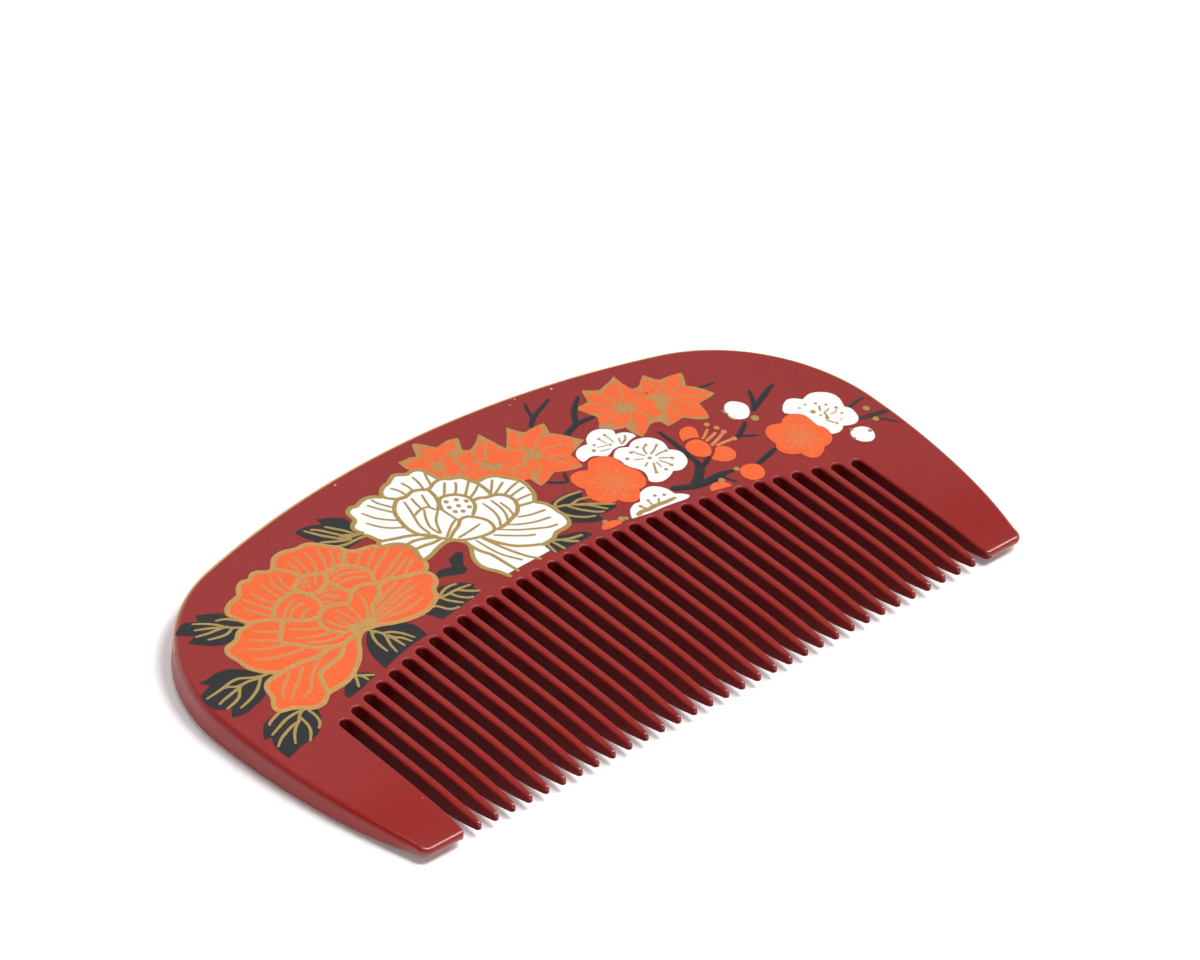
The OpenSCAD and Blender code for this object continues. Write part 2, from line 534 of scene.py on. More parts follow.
def add_tones(tree, mottle, dark, light):
    """A colour that the grain moves between a dark and a light tone."""
    tones = node(tree, "ShaderNodeMix", (-600, 150), {"A": (*dark, 1), "B": (*light, 1)}, data_type="RGBA")
    tree.links.new(mottle.outputs["Mottle"], tones.inputs["Factor"])
    return tones.outputs["Result"]


def add_shine(tree, mottle, smooth, rough):
    """A roughness that the cloud moves between two values."""
    shine = node(tree, "ShaderNodeMapRange", (-600, -150), {"To Min": smooth, "To Max": rough})
    tree.links.new(mottle.outputs["Cloud"], shine.inputs["Value"])
    return shine.outputs["Result"]


def add_relief(tree, mottle, strength):
    """A faint relief from the grain, two hundredths of a millimetre deep."""
    bump = node(tree, "ShaderNodeBump", (-600, -450), {"Strength": strength, "Distance": 0.00002})
    tree.links.new(mottle.outputs["Mottle"], bump.inputs["Height"])
    tree.links.new(bump.outputs["Normal"], tree.nodes["Principled BSDF"].inputs["Normal"])

# %% What is special about the teeth
# Colour that multiplies the reds of the teeth as painted shade against their sheen, weight of the tips' coat,
# and between which y it fades out
sheen_offset_tint = (1, 0.55, 0.12, 1)
tip_coat_weight = 0.6
coat_from, coat_to = 1.2, 4


def offset_teeth_sheen(tree, reds, rubbed):
    """The reds as they are on the face, and deeper, warmer ones on the teeth: painted shade that takes out
    part of their sheen.
    """
    shares = {"From Min": rubbed_share, "From Max": 1, "To Min": 1, "To Max": 0}
    sheen_fade = node(tree, "ShaderNodeMapRange", (-400, 350), shares)
    multiplied = {"data_type": "RGBA", "blend_type": "MULTIPLY"}
    deeper_reds = node(tree, "ShaderNodeMix", (-200, 250), {"B": sheen_offset_tint}, **multiplied)
    tree.links.new(rubbed, sheen_fade.inputs["Value"])
    tree.links.new(sheen_fade.outputs["Result"], deeper_reds.inputs["Factor"])
    tree.links.new(reds, deeper_reds.inputs["A"])
    return deeper_reds.outputs["Result"]


def coat_on_tips(tree):
    """A weight for the clear coat that is there at the tooth tips only."""
    place = node(tree, "ShaderNodeTexCoord", (-900, -600))
    from_tips = node(tree, "ShaderNodeSeparateXYZ", (-700, -600))
    ends = {"From Min": laid([(0, coat_from, 0)])[0][1], "From Max": laid([(0, coat_to, 0)])[0][1],
            "To Min": tip_coat_weight, "To Max": 0}
    tip_coat = node(tree, "ShaderNodeMapRange", (-300, -600), ends, interpolation_type="SMOOTHSTEP")
    tree.links.new(place.outputs["Object"], from_tips.inputs["Vector"])
    tree.links.new(from_tips.outputs["Y"], tip_coat.inputs["Value"])
    return tip_coat.outputs["Result"]

# %% The lacquer itself
def make_lacquer():
    lacquer, tree, shader = new_material("red_lacquer")
    mottle = add_mottle(tree, 2200, 1.6, cloud_strength=1.5)
    rubbed = node(tree, "ShaderNodeGroup", (-600, -300), node_tree=rubbed_and_sheen_group)
    reds = add_tones(tree, mottle, (0.208, 0.005, 0.004), (0.3, 0.0085, 0.0065))
    # On the teeth the reds get deeper and warmer: painted shade that takes out part of their sheen
    tree.links.new(offset_teeth_sheen(tree, reds, rubbed.outputs["Rubbed"]), shader.inputs["Base Color"])
    polished = node(tree, "ShaderNodeMath", (-300, -150), operation="MULTIPLY")
    tree.links.new(add_shine(tree, mottle, 0.335, 0.435), polished.inputs[0])
    tree.links.new(rubbed.outputs["Rubbed"], polished.inputs[1])
    tree.links.new(polished.outputs[0], shader.inputs["Roughness"])
    tree.links.new(coat_on_tips(tree), shader.inputs["Coat Weight"])
    shader.inputs["Coat Roughness"].default_value = 0.14
    add_relief(tree, mottle, 0.1)
    return lacquer


comb.data.materials.append(make_lacquer())
print("nodes of the lacquer:", len(comb.data.materials[0].node_tree.nodes))

# %% Painted shade on the walls of the slots
def make_slot_shade():
    """Painted shade: a darker, duller red on the walls of the slots, which stands in for the shade inside
    them. Its weak shine keeps the bright table from showing in them.
    """
    lacquer, tree, shader = new_material("slot_shade_lacquer")
    shader.inputs["Specular IOR Level"].default_value = 0.12
    shader.inputs["Roughness"].default_value = 0.55
    reds = add_tones(tree, add_mottle(tree, 1400, 1.8), (0.12, 0.002, 0.003), (0.2, 0.004, 0.005))
    tree.links.new(reds, shader.inputs["Base Color"])
    return lacquer


comb.data.materials.append(make_slot_shade())
# The walls of the slots get the darker red of the painted shade
for index in slot_faces:
    comb.data.polygons[index].material_index = 1
print("faces on slot walls:", len(slot_faces))

# %% [markdown]
# ## How the painting is made
# On the real comb each colour is a thin film of lacquer paint, which stands a few hundredths of a millimetre
# above the red. A picture wrapped over the face would look flat from the side, and a curve object with a
# fill leaves holes where shapes overlap. So each flower is cut as a thin plate with a rounded border, and
# each gold line is a low ridge that swells and tapers like a brush stroke. Outlines are written as runs of
# points: a soft curve goes through the points of a run, and two runs meet in a corner. Each film has a
# level, the height of its top above the face, which is higher where the paint lies over another.

# %% Soft curves through charted points
def soft_run(points, step=0.3):
    """A soft curve through points, as a line of short steps of about step millimetres."""
    p = [np.array(q, float) for q in points]
    if len(p) < 3:
        return p
    p = [2 * p[0] - p[1]] + p + [2 * p[-1] - p[-2]]
    line = []
    for a, b, c, d in zip(p, p[1:], p[2:], p[3:]):
        count = max(2, int(np.linalg.norm(c - b) / step))
        square, cube = 2 * a - 5 * b + 4 * c - d, 3 * b - a - 3 * c + d
        for t in [i / count for i in range(count)]:
            line.append(0.5 * (2 * b + (c - a) * t + square * t ** 2 + cube * t ** 3))
    return line + [p[-2]]


def round_border(ring):
    """A closed soft border without corners. The curve runs on past its start, and one round of it is kept."""
    line = soft_run(ring[-2:] + ring + ring[:2])

    def from_start(i):
        return np.linalg.norm(line[i] - np.array(ring[0]))

    first = min(range(len(line)), key=from_start)
    return line[first:min(range(first + 3, len(line)), key=from_start)]


def border(*runs):
    """A closed border. Each run starts in a corner, and ends where the next run starts."""
    if len(runs) == 1:
        return round_border(list(runs[0]))
    line = []
    for run, following in zip(runs, runs[1:] + runs[:1]):
        line += soft_run(list(run) + [following[0]])[:-1]
    return line


print("steps of a small round border:", len(border([(0, 1), (1, 0), (0, -1), (-1, 0)])))

# %% A place above the painted face
def on_face(x, y, lift):
    """The place over x, y that stands lift millimetres above the upper face."""
    return (x, y, tip_t / 2 + wedge / 2 * y + lift)


face_up = unit(np.array([0, -wedge / 2, 1]))
# Films are rooted this far under the face, so that no gap shows, and their edge is rounded by so much
film_root, film_edge = -0.03, 0.012
# Keeps a length from being zero
tiny = 1e-9
print("middle of the face:", [round(v, 2) for v in on_face(0, comb_h / 2, 0)])

# %% A film of paint with a rounded border
def new_store():
    """Empty lists for the points, surface directions and faces of a piece."""
    return [], [], []


def turned_left(line):
    """The border in the order that keeps its inside on the left."""
    area = sum(a[0] * b[1] - b[0] * a[1] for a, b in zip(line, line[1:] + line[:1]))
    return line if area > 0 else line[::-1]


def add_film(store, line, level):
    """Adds a thin plate with this border to the store. level is the height of its top above the face."""
    points, directions, faces = store
    line = turned_left([np.array(q, float) for q in line])
    n, first = len(line), len(points)
    outs = []
    for i in range(n):
        ahead = line[(i + 1) % n] - line[i - 1]
        outs.append(np.array([ahead[1], -ahead[0]]) / (np.linalg.norm(ahead) + tiny))
    # Three rings: under the face, at the foot of the rounding, and round the flat top
    for inset, height, up in ((0, film_root, 0), (0, level - film_edge, 0.5), (film_edge, level, 1)):
        for q, out in zip(line, outs):
            points.append(on_face(q[0] - out[0] * inset, q[1] - out[1] * inset, height))
            directions.append(unit(up * face_up + (1 - up) * np.array([out[0], out[1], 0])))
    for ring in (0, 1):
        for i in range(n):
            a, b = first + ring * n + i, first + ring * n + (i + 1) % n
            faces.append((a, b, b + n, a + n))
    # The top and the bottom are filled with the same triangles
    corners = [Vector((q[0], q[1], 0)) for q in line]
    for a, b, c in tessellate_polygon([corners]):
        if (corners[b] - corners[a]).cross(corners[c] - corners[a]).z < 0:
            b, c = c, b
        faces.append((first + 2 * n + a, first + 2 * n + b, first + 2 * n + c))
        faces.append((first + a, first + c, first + b))


def add_dot(store, x, y, radius, level):
    """A small round drop of paint, which stands a little higher than a film."""
    sides, rise = 12, 0.018
    turns = [2 * math.pi * i / sides for i in range(sides)]
    add_film(store, [(x + radius * math.cos(a), y + radius * math.sin(a)) for a in turns], level + rise)

# %% The faces of a ridge
def add_ridge_faces(faces, first, sections, size):
    """Quads between neighbouring sections of a ridge, and one face over each end."""
    for i in range(sections - 1):
        for k in range(size):
            a, b = first + i * size + k, first + i * size + (k + 1) % size
            faces.append((a, b, b + size, a + size))
    last = first + (sections - 1) * size
    faces.append(tuple(first + k for k in range(size))[::-1])
    faces.append(tuple(last + k for k in range(size)))


def beyond(end, inner, width, shares):
    """Places past the end of a line, at these shares of its width."""
    ahead = unit(end - inner)
    return [end + ahead * width * share for share in shares]

# %% A brush stroke with a raised middle
stroke_step = 0.35
# Where the two sections past each end stand, and how wide they are, as shares of the stroke's width
cap_places, cap_widths = (0.45, 0.33), (0.1, 0.6)
# Their height is this plus the share of their width, as a share of the ridge's height
cap_height = 0.4
# Between these shares of its length a stroke has its full width
full_from, full_to = 0.3, 0.6


def swell(t, start, end):
    """Width of a stroke at share t of its length, as a share of its full width."""
    if t < full_from:
        return start + (1 - start) * min(t / full_from, 1)
    return 1 - (1 - end) * max(t - full_to, 0) / (1 - full_to)


def stroke_section(ridge):
    """Points across a stroke: place, height as a share of the ridge, and the surface's lean and rise."""
    # The surface leans more than so low a ridge does, so that the light picks it out
    slope = 30 * ridge
    return ((-0.5, film_root, -1, 0), (-0.5, 0.3, -slope, 1), (-0.28, 0.8, -0.3 * slope, 1), (0, 1, 0, 1),
            (0.28, 0.8, 0.3 * slope, 1), (0.5, 0.3, slope, 1), (0.5, film_root, 1, 0))


def add_stroke(store, points_along, width, level, start, end, ridge=0.009):
    """Adds a low ridge along a soft curve. start and end are its widths there, as shares of width."""
    points, directions, faces = store
    line = soft_run(points_along, stroke_step)
    if len(line) == 2:
        line = [line[0] + (line[1] - line[0]) * t for t in (0, 0.25, 0.5, 0.75, 1)]
    shares = cap_widths + (1,) * len(line) + cap_widths[::-1]
    heads = beyond(line[0], line[1], width, cap_places)
    tails = beyond(line[-1], line[-2], width, cap_places[::-1])
    line = heads + line + tails
    n, first, section = len(line), len(points), stroke_section(ridge)
    for i, q in enumerate(line):
        ahead = line[min(i + 1, n - 1)] - line[max(i - 1, 0)]
        across_line = np.array([ahead[1], -ahead[0]]) / (np.linalg.norm(ahead) + tiny)
        w = width * swell(i / (n - 1), start, end) * shares[i]
        for off, height, side, up in section:
            place = q + across_line * off * w
            lift = film_root if height < 0 else level + ridge * height * min(1, cap_height + shares[i])
            points.append(on_face(place[0], place[1], lift))
            sideways = np.array([across_line[0] * side, across_line[1] * side, 0])
            directions.append(unit(sideways + up * face_up))
    add_ridge_faces(faces, first, n, len(section))

# %% Make a painted piece from a store
def paint_piece(name, store, paint):
    """Makes the piece from its store, and gives it its paint."""
    points, directions, faces = store
    piece = piece_from(name, points, faces, directions)
    piece.data.materials.append(paint)
    print(name, "has", len(piece.data.polygons), "faces")
    return piece

# %% [markdown]
# ## The paints
# The orange and the white are thick and even, the black is thinner and shines a little more, and the gold is
# powder sprinkled in wet lacquer: a dull metal with fine bright grains. Over white the gold is darker, over
# orange plum blossoms it is so thin that the orange comes through, and at the right rim the black is rubbed
# to brown. All of them come from one recipe, so each paint is one line.

# %% Paints from one recipe
def make_paint(name, dark, light, roughness, metal=0.0, grain=900, grain_strength=1.2):
    paint, tree, shader = new_material(name)
    shader.inputs["Metallic"].default_value = metal
    mottle = add_mottle(tree, grain, grain_strength, cloud_size=220, cloud_strength=1.2)
    tree.links.new(add_tones(tree, mottle, dark, light), shader.inputs["Base Color"])
    spread = 0.06
    shine = add_shine(tree, mottle, roughness - spread, roughness + spread)
    tree.links.new(shine, shader.inputs["Roughness"])
    add_relief(tree, mottle, 0.15)
    return paint


def make_gold(name, dark, light, roughness=0.5, metal=0.25):
    return make_paint(name, dark, light, roughness, metal, grain=3000, grain_strength=1.6)


orange_paint = make_paint("orange_paint", (0.72, 0.092, 0.008), (0.82, 0.118, 0.015), 0.42)
white_paint = make_paint("white_paint", (0.76, 0.76, 0.74), (0.83, 0.83, 0.815), 0.45)
black_paint = make_paint("black_paint", (0.003, 0.003, 0.004), (0.012, 0.012, 0.014), 0.34)
faded_black_paint = make_paint("faded_black_paint", (0.018, 0.007, 0.008), (0.042, 0.013, 0.013), 0.4)
gold_paint = make_gold("gold_paint", (0.38, 0.2, 0.05), (0.6, 0.335, 0.098))
old_gold_paint = make_gold("old_gold_paint", (0.28, 0.18, 0.043), (0.46, 0.31, 0.088))
maple_gold_paint = make_gold("maple_gold_paint", (0.36, 0.175, 0.045), (0.56, 0.285, 0.085))
thin_gold_paint = make_gold("thin_gold_paint", (0.45, 0.18, 0.042), (0.64, 0.27, 0.075), metal=0.2)
faint_gold_paint = make_gold("faint_gold_paint", (0.5, 0.16, 0.045), (0.68, 0.23, 0.075), 0.48, 0.1)
print("materials:", [material.name for material in bpy.data.materials])

# %% [markdown]
# ## Black leaves and twigs
# The leaves and twigs are the lowest paint, because flowers are painted over their stems. Each leaf has a
# few pointed lobes and a fan of gold veins. The twigs are single strokes of the same black, nearly without a
# ridge.

# %% Leaves at the left end
leaf_level = 0.02
leaves, leaf_veins = new_store(), new_store()
left_leaves = [
    [[(-40.6, 24.3), (-42.2, 25), (-43.5, 25.4), (-44.8, 25.5), (-46, 25.3), (-46.9, 24.8), (-47.7, 23.9)],
     [(-48.3, 23.1)], [(-47.4, 22.95), (-47.9, 21.9), (-48.1, 20.9)],
     [(-48.1, 19.35), (-47, 19.6), (-46, 19.95), (-45, 20.1)],
     [(-43.9, 20.2), (-43.2, 20.4), (-42.4, 20.8)],
     [(-42.2, 21.1), (-41.3, 21.9), (-40.7, 22.6), (-40.3, 23.4)]],
    [[(-39.95, 30.65), (-41.2, 31.5), (-41.9, 32.4), (-42.6, 33.2), (-43.4, 33.9), (-44.1, 34.2),
      (-45.3, 34.4), (-46.5, 34.2)], [(-47.9, 34.1), (-47.4, 33.5)],
     [(-47.2, 33.1), (-48, 32.9), (-48.9, 32.5), (-49.25, 31.9), (-49.4, 31.1), (-49.35, 30.3),
      (-49.1, 29.7), (-48.5, 29.25)], [(-47.7, 28.9), (-48.2, 28.4)],
     [(-48.65, 27.85), (-47.9, 27.6), (-46.8, 27.5), (-45.5, 27.8), (-44.1, 28.2), (-43.1, 28.7)],
     [(-42.3, 29.4), (-41.6, 30.1)]],
    [[(-37.3, 38.65), (-37.85, 39.55), (-38.1, 40.5), (-38.25, 41.65), (-38.9, 42.1), (-39.9, 42.6)],
     [(-40.75, 42.95), (-41.1, 42.5)], [(-41.2, 42.05), (-41.65, 42.3), (-42.8, 42.7), (-43.6, 42.5)],
     [(-44.7, 41.8), (-44.1, 41.15)], [(-43.25, 40.4), (-43.6, 40.2)],
     [(-44.5, 39.9), (-43.9, 39.2), (-42.9, 38.25), (-42.1, 37.7), (-41, 37.35), (-40, 37.5), (-39.4, 37.8),
      (-38.4, 38.1)]],
]
for runs in left_leaves:
    add_film(leaves, border(*runs), leaf_level)
print("leaves at the left end:", len(left_leaves))

# %% Leaves over the flowers and along the teeth
inner_leaves = [
    [[(-22.5, 47.6), (-22.3, 46.7), (-22, 45.8), (-21.6, 45.3)], [(-22.2, 45), (-21.4, 44.3)],
     [(-20.6, 43.7), (-19.8, 42.6)], [(-19.6, 42.1), (-18.3, 42.2)], [(-17, 42.4), (-16.3, 43.4)],
     [(-17, 44.1), (-16.5, 44.7), (-16.2, 45.4), (-16.2, 46.3), (-16.7, 46.8), (-17.6, 47.45)],
     [(-19.05, 48), (-18.95, 47.4)],
     [(-19.05, 46.95), (-19.45, 47.2), (-20.1, 47.5), (-21, 47.7), (-22, 47.72)]],
    [[(-17.3, 29.8), (-16.9, 30.4), (-16.6, 31), (-15.7, 31.25), (-14.7, 31.1), (-13.7, 30.75),
      (-12.8, 30.2)], [(-12.05, 29.45), (-12.4, 29.15)], [(-12.55, 28.9)],
     [(-12.25, 28.1), (-13.8, 27.75), (-15.1, 27.55), (-17, 27.25)],
     [(-19.1, 26.95), (-19.35, 27.6), (-19.8, 28.3)], [(-20.3, 28.85), (-19, 29.3)]],
    [[(-27, 30.4), (-28.2, 29.3), (-29, 28.2), (-29.5, 27), (-29.7, 25.8)],
     [(-29.8, 24.4), (-28.4, 24.8), (-26.8, 25.25), (-25, 25.6), (-23.6, 25.8)],
     [(-22.25, 26), (-22.15, 27), (-22.3, 28.2), (-22.9, 28.9), (-24, 29.6), (-25.2, 30)]],
    [[(-33.2, 25.7), (-34.2, 25.3), (-35.1, 24.9), (-35.8, 24.3)],
     [(-36.4, 23.6), (-36.2, 23.05), (-35.4, 23.1), (-34, 23.4), (-32.8, 23.8), (-31.9, 24)],
     [(-31.3, 24.2), (-31.8, 25), (-32.4, 25.4)]],
    [[(4.4, 35), (5.3, 35.2), (6.3, 35.3), (7.35, 35.32), (8.2, 35.15)], [(9.05, 34.6), (8.8, 34.1)],
     [(8.45, 33.85), (8.1, 33.5)], [(8.2, 33.1), (8.8, 32.2), (9.6, 31.5)],
     [(10.8, 30.6), (10.45, 30.3), (9.35, 30.2)], [(8.45, 30.2), (7.95, 30.4)], [(7.8, 30.2), (7.75, 29.7)],
     [(7.6, 29.4), (7, 29.5), (6.1, 29.9), (5.2, 30.45)], [(4.3, 31.1), (4, 32.6), (4, 34)]],
    [[(-1.2, 30.3), (-1.15, 29.3)], [(-1.1, 28.25), (1.2, 28.1), (3.2, 28.1)],
     [(4.9, 28.2), (4.4, 29.1), (3.5, 29.6), (2.4, 29.95)], [(1.2, 30.4)]],
    [[(-14.9, 32.5), (-14.6, 33.05), (-13.95, 33.4), (-13.2, 33.4), (-12.5, 33.2)],
     [(-12.1, 33.05), (-11.85, 33.65)], [(-11.55, 34.3), (-10.8, 34.5)], [(-10, 34.75)],
     [(-9.4, 34.35), (-9.7, 33.9), (-10.2, 33.3), (-10.8, 32.5)],
     [(-10.85, 31.8), (-11.5, 31.5), (-12.2, 31.55), (-13, 31.9), (-13.9, 32.3)]],
]
for runs in inner_leaves:
    add_film(leaves, border(*runs), leaf_level)
print("leaves near the flowers and the teeth:", len(inner_leaves))

# %% Veins of the leaves
# Widths of the two kinds of veins, and how far the gold at their root stands above the leaf
vein_width, broad_vein_width, vein_root_rise = 0.36, 0.38, 0.006
vein_lines = [
    [(-41.2, 24.5), (-42.3, 24.1), (-43.2, 23.3), (-44, 22.8), (-45, 21.9), (-45.9, 20.75)],
    [(-41.9, 24.45), (-43.3, 24.4), (-44.5, 24.15), (-45.7, 23.7), (-47, 23.2)],
    [(-43.2, 23.2), (-44.2, 23.1), (-45.4, 22.7), (-46.6, 22.2), (-47.7, 21.45)],
    [(-42.7, 23.8), (-42.75, 22.8), (-42.95, 21.9), (-43.4, 21.1), (-44.3, 20.2)],
    [(-41.2, 24.2), (-41.15, 23.2), (-41.25, 22.4), (-41.6, 21.7), (-42.2, 21.2)],
    [(-43.8, 25.6), (-45, 25.2), (-45.8, 24.9), (-46.2, 24.6)],
    [(-39.8, 30.85), (-41.2, 31.1), (-42.2, 31.1), (-43.3, 31.3), (-44.3, 31.3), (-45, 31.4), (-45.6, 31.8),
     (-46.3, 32)],
    [(-41.6, 31.2), (-42.3, 31.4), (-43.2, 31.9), (-44, 32.3), (-45, 32.3), (-46, 32.1), (-47.2, 31.9),
     (-48.8, 31.7)], [(-44.3, 31.25), (-45.3, 31), (-46.4, 30.75), (-47.5, 30.5), (-48.3, 30.25)],
    [(-44.6, 31.2), (-45.3, 30.5), (-45.9, 29.9), (-46.9, 29.5), (-48.1, 29.2)],
    [(-41.9, 31), (-42.7, 30.3), (-43.5, 29.7), (-44.5, 29.2), (-45.6, 28.8), (-46.8, 28.5)],
    [(-38, 38.5), (-39.2, 39.4), (-40, 40.5), (-41, 41.4), (-42, 42.05)],
    [(-39.4, 39.6), (-40.5, 40.2), (-41.5, 40.7), (-42.5, 41.1)],
    [(-39.2, 39.6), (-40.7, 39.8), (-41.8, 39.9), (-43.1, 40.2)],
    [(-38.8, 39.1), (-40, 38.65), (-41.15, 38.75), (-42.3, 39.05)],
    [(-37.8, 39.9), (-38.6, 40.7), (-39.55, 41)],
    [(-17.3, 29.95), (-16, 29.8), (-15, 29.85), (-13.8, 29.8), (-12.6, 29.6)],
    [(-16.9, 30), (-15.6, 30.6), (-14.6, 30.75), (-13.8, 30.6)],
    [(-16.8, 29.9), (-16.4, 29), (-15.8, 28.3), (-15.3, 27.8)],
    [(-15.4, 29.7), (-15, 28.8), (-14.3, 28.1), (-13.7, 27.9)],
    [(-14.3, 29.7), (-13.4, 28.9), (-12.4, 28.25)],
    [(-18.8, 29.2), (-18.1, 29), (-17.5, 28), (-16.9, 27.6), (-16.2, 27.5)],
    [(-27, 29.8), (-27.5, 28.8), (-27.7, 27.8), (-27.7, 26.5)],
    [(-26.6, 29.8), (-26.1, 28.8), (-26.3, 28), (-26.7, 27), (-26.9, 25.8)],
    [(-26, 28.4), (-25.7, 27.6), (-25.6, 26.8), (-25.5, 26.1)],
    [(-25.8, 28.3), (-25.5, 27.7), (-24.9, 27.2), (-24.4, 26.2)],
    [(-26.2, 29), (-25.2, 28.6), (-24.4, 27.8), (-23.7, 26.5)],
    [(-33.2, 25.7), (-33.7, 24.6), (-34.2, 23.8)], [(-33.2, 25.4), (-32.7, 24.8), (-32.6, 24.1)],
    [(-33.2, 25.3), (-32.2, 24.7), (-31.6, 24.3)],
    [(4.4, 34.2), (5.4, 34.8), (6.45, 34.95), (7.35, 34.95), (8.45, 34.75), (9, 34.65)],
    [(4.7, 34.2), (5.9, 33.8), (6.45, 33.5), (7.2, 33.65), (8.1, 33.65), (9.1, 33.35)],
    [(6, 33.5), (6.65, 32.35), (7.35, 31.55), (8.1, 30.8), (8.7, 30.5)],
    [(6.7, 33.4), (7.75, 32.6), (8.45, 31.9), (9, 31.1), (9.4, 30.65)],
    [(7.4, 33), (8.8, 32.1), (9.7, 31.45), (10.6, 30.8)],
    [(4.5, 33), (5.1, 32), (5.8, 31.3), (6.65, 30.75), (7.35, 30.5)],
]
for line in vein_lines:
    add_stroke(leaf_veins, line, vein_width, leaf_level, start=0.9, end=0.6)
broad_veins = [
    [(-21.4, 47.15), (-20.8, 46.2), (-20.3, 45.4), (-19.6, 44.6), (-18.8, 43.6)],
    [(-20.6, 46.9), (-20, 46.4), (-19.3, 45.4), (-18.6, 44.4), (-18, 43.4)],
    [(-19, 46.4), (-18.4, 45.6), (-17.7, 44.7), (-17.2, 43.7)],
    [(-21.2, 44.6), (-20.2, 44.05), (-19.3, 43.6), (-18.1, 43.15)],
    [(-20.3, 43.1), (-19, 42.75), (-17.6, 42.75), (-16.2, 42.7)],
    [(-27.2, 31), (-26.95, 30.4), (-26.8, 29.6)],
    [(-0.6, 30.1), (-0.7, 29.3), (-0.8, 28.4)],
    [(0.1, 30.1), (0.35, 28.9), (0.45, 28.25)],
    [(0.6, 29.9), (2, 29.2), (3.7, 28.85)],
    [(1.4, 29.3), (2, 28.7), (2.6, 28.3)],
]
for line in broad_veins:
    add_stroke(leaf_veins, line, broad_vein_width, leaf_level, start=0.6, end=1)
vein_root = border(
    [(-18.9, 44.3), (-18.6, 43.6), (-17.9, 43.3), (-17, 43.15), (-16.3, 43.05)],
    [(-16.4, 43.6), (-17.4, 43.8), (-18.2, 44.3)])
add_film(leaf_veins, vein_root, leaf_level + vein_root_rise)
print("veins:", len(vein_lines) + len(broad_veins))

# %% Twigs
# Width of a twig, its shares of that at the start and at the end, and its line
twig_lines = [
    (0.5, 1, 0.5, [(12.6, 46.7), (13.85, 47.85), (14.35, 49.2), (14.9, 50.1)]),
    (0.6, 1, 0.5, [(12.6, 46.7), (13.7, 47.5), (15, 48.2), (16.6, 48.8), (17.7, 49.25)]),
    (0.8, 1, 0.5, [(14.9, 43.2), (16, 43.6), (17.2, 44.1), (18.35, 45.6), (19.7, 46.8), (20.8, 47.55)]),
    (0.7, 1, 0.5, [(17, 44), (18.35, 43.97), (19.8, 43.9)]),
    (0.5, 1, 0.5, [(7.1, 38), (8, 37.3), (8.9, 36.75)]),
    (0.42, 1, 0.5, [(9.75, 38.1), (9.4, 37.4), (9.05, 36.8)]),
    (0.75, 0.45, 1, [(24.1, 37.3), (24.1, 35.6), (24, 33.95), (23.9, 32.6), (23.85, 31.1), (23.6, 30.3)]),
    (1.2, 0.65, 1, [(23.7, 30.6), (23.3, 29.9), (22.5, 29.2), (21.7, 28.6), (20.9, 28.2)]),
    (1.05, 0.8, 1, [(18.2, 28.95), (19.1, 28.5), (20, 28.1), (20.8, 28)]),
    (1.15, 1, 0.3,
     [(20, 28.05), (21, 27.8), (22, 27.65), (23.2, 27.65), (24.3, 27.7), (25.1, 27.65), (25.95, 27.45)]),
    (0.7, 1, 0.6, [(23.5, 30), (24.5, 30.25), (25.6, 30.8)]),
    (0.42, 1, 0.6, [(24.3, 27.3), (24.75, 26.4), (25, 25.8)]),
    (0.66, 1, 0.6, [(31, 31.6), (31.9, 31.95), (32.85, 32.5), (33.6, 33)]),
    (0.46, 1, 0.5, [(31.2, 31.6), (32.1, 31.1), (33.1, 30.5)]),
    (0.7, 0.8, 0.7, [(29.6, 26.7), (30.7, 26.95), (31.9, 27.25), (33, 27.5)]),
    (0.75, 1, 0.5, [(36.3, 34.3), (37.4, 34.75), (38.8, 35.3), (40.3, 35.95), (41.3, 36.3)]),
    (0.62, 1, 0.6, [(36.2, 34.1), (37.2, 35.2), (37.8, 36.1), (38.3, 37)]),
    (0.4, 1, 0.5, [(33.8, 40.9), (34.95, 40.65), (35.9, 40.6)]),
]
faded_twig_lines = [
    (0.5, 1, 0.6, [(46, 28.15), (47.3, 28.4), (48.5, 28.5)]),
    (0.78, 0.75, 1, [(45.6, 25.8), (46.5, 25.65), (48, 25.35), (49, 25.15)]),
    (0.52, 1, 0.7, [(46.9, 25), (47.9, 23.95), (48.6, 23)]),
]
twig_level, twig_ridge = 0.008, 0.003
faded_twigs = new_store()
for store, lines in ((leaves, twig_lines), (faded_twigs, faded_twig_lines)):
    for width, start, end, line in lines:
        add_stroke(store, line, width, twig_level, start=start, end=end, ridge=twig_ridge)
paint_piece("black_leaves_and_twigs", leaves, black_paint)
paint_piece("faded_twigs", faded_twigs, faded_black_paint)
paint_piece("gold_leaf_veins", leaf_veins, old_gold_paint)

# %% [markdown]
# ## Orange peony
# The orange is one large scalloped shape. The petals only appear when gold lines are drawn over it: broad
# ones between the petals, and thin ones as veins that run to the heart of the flower. Cutting each petal as a
# film of its own would leave dark seams where two of them meet.

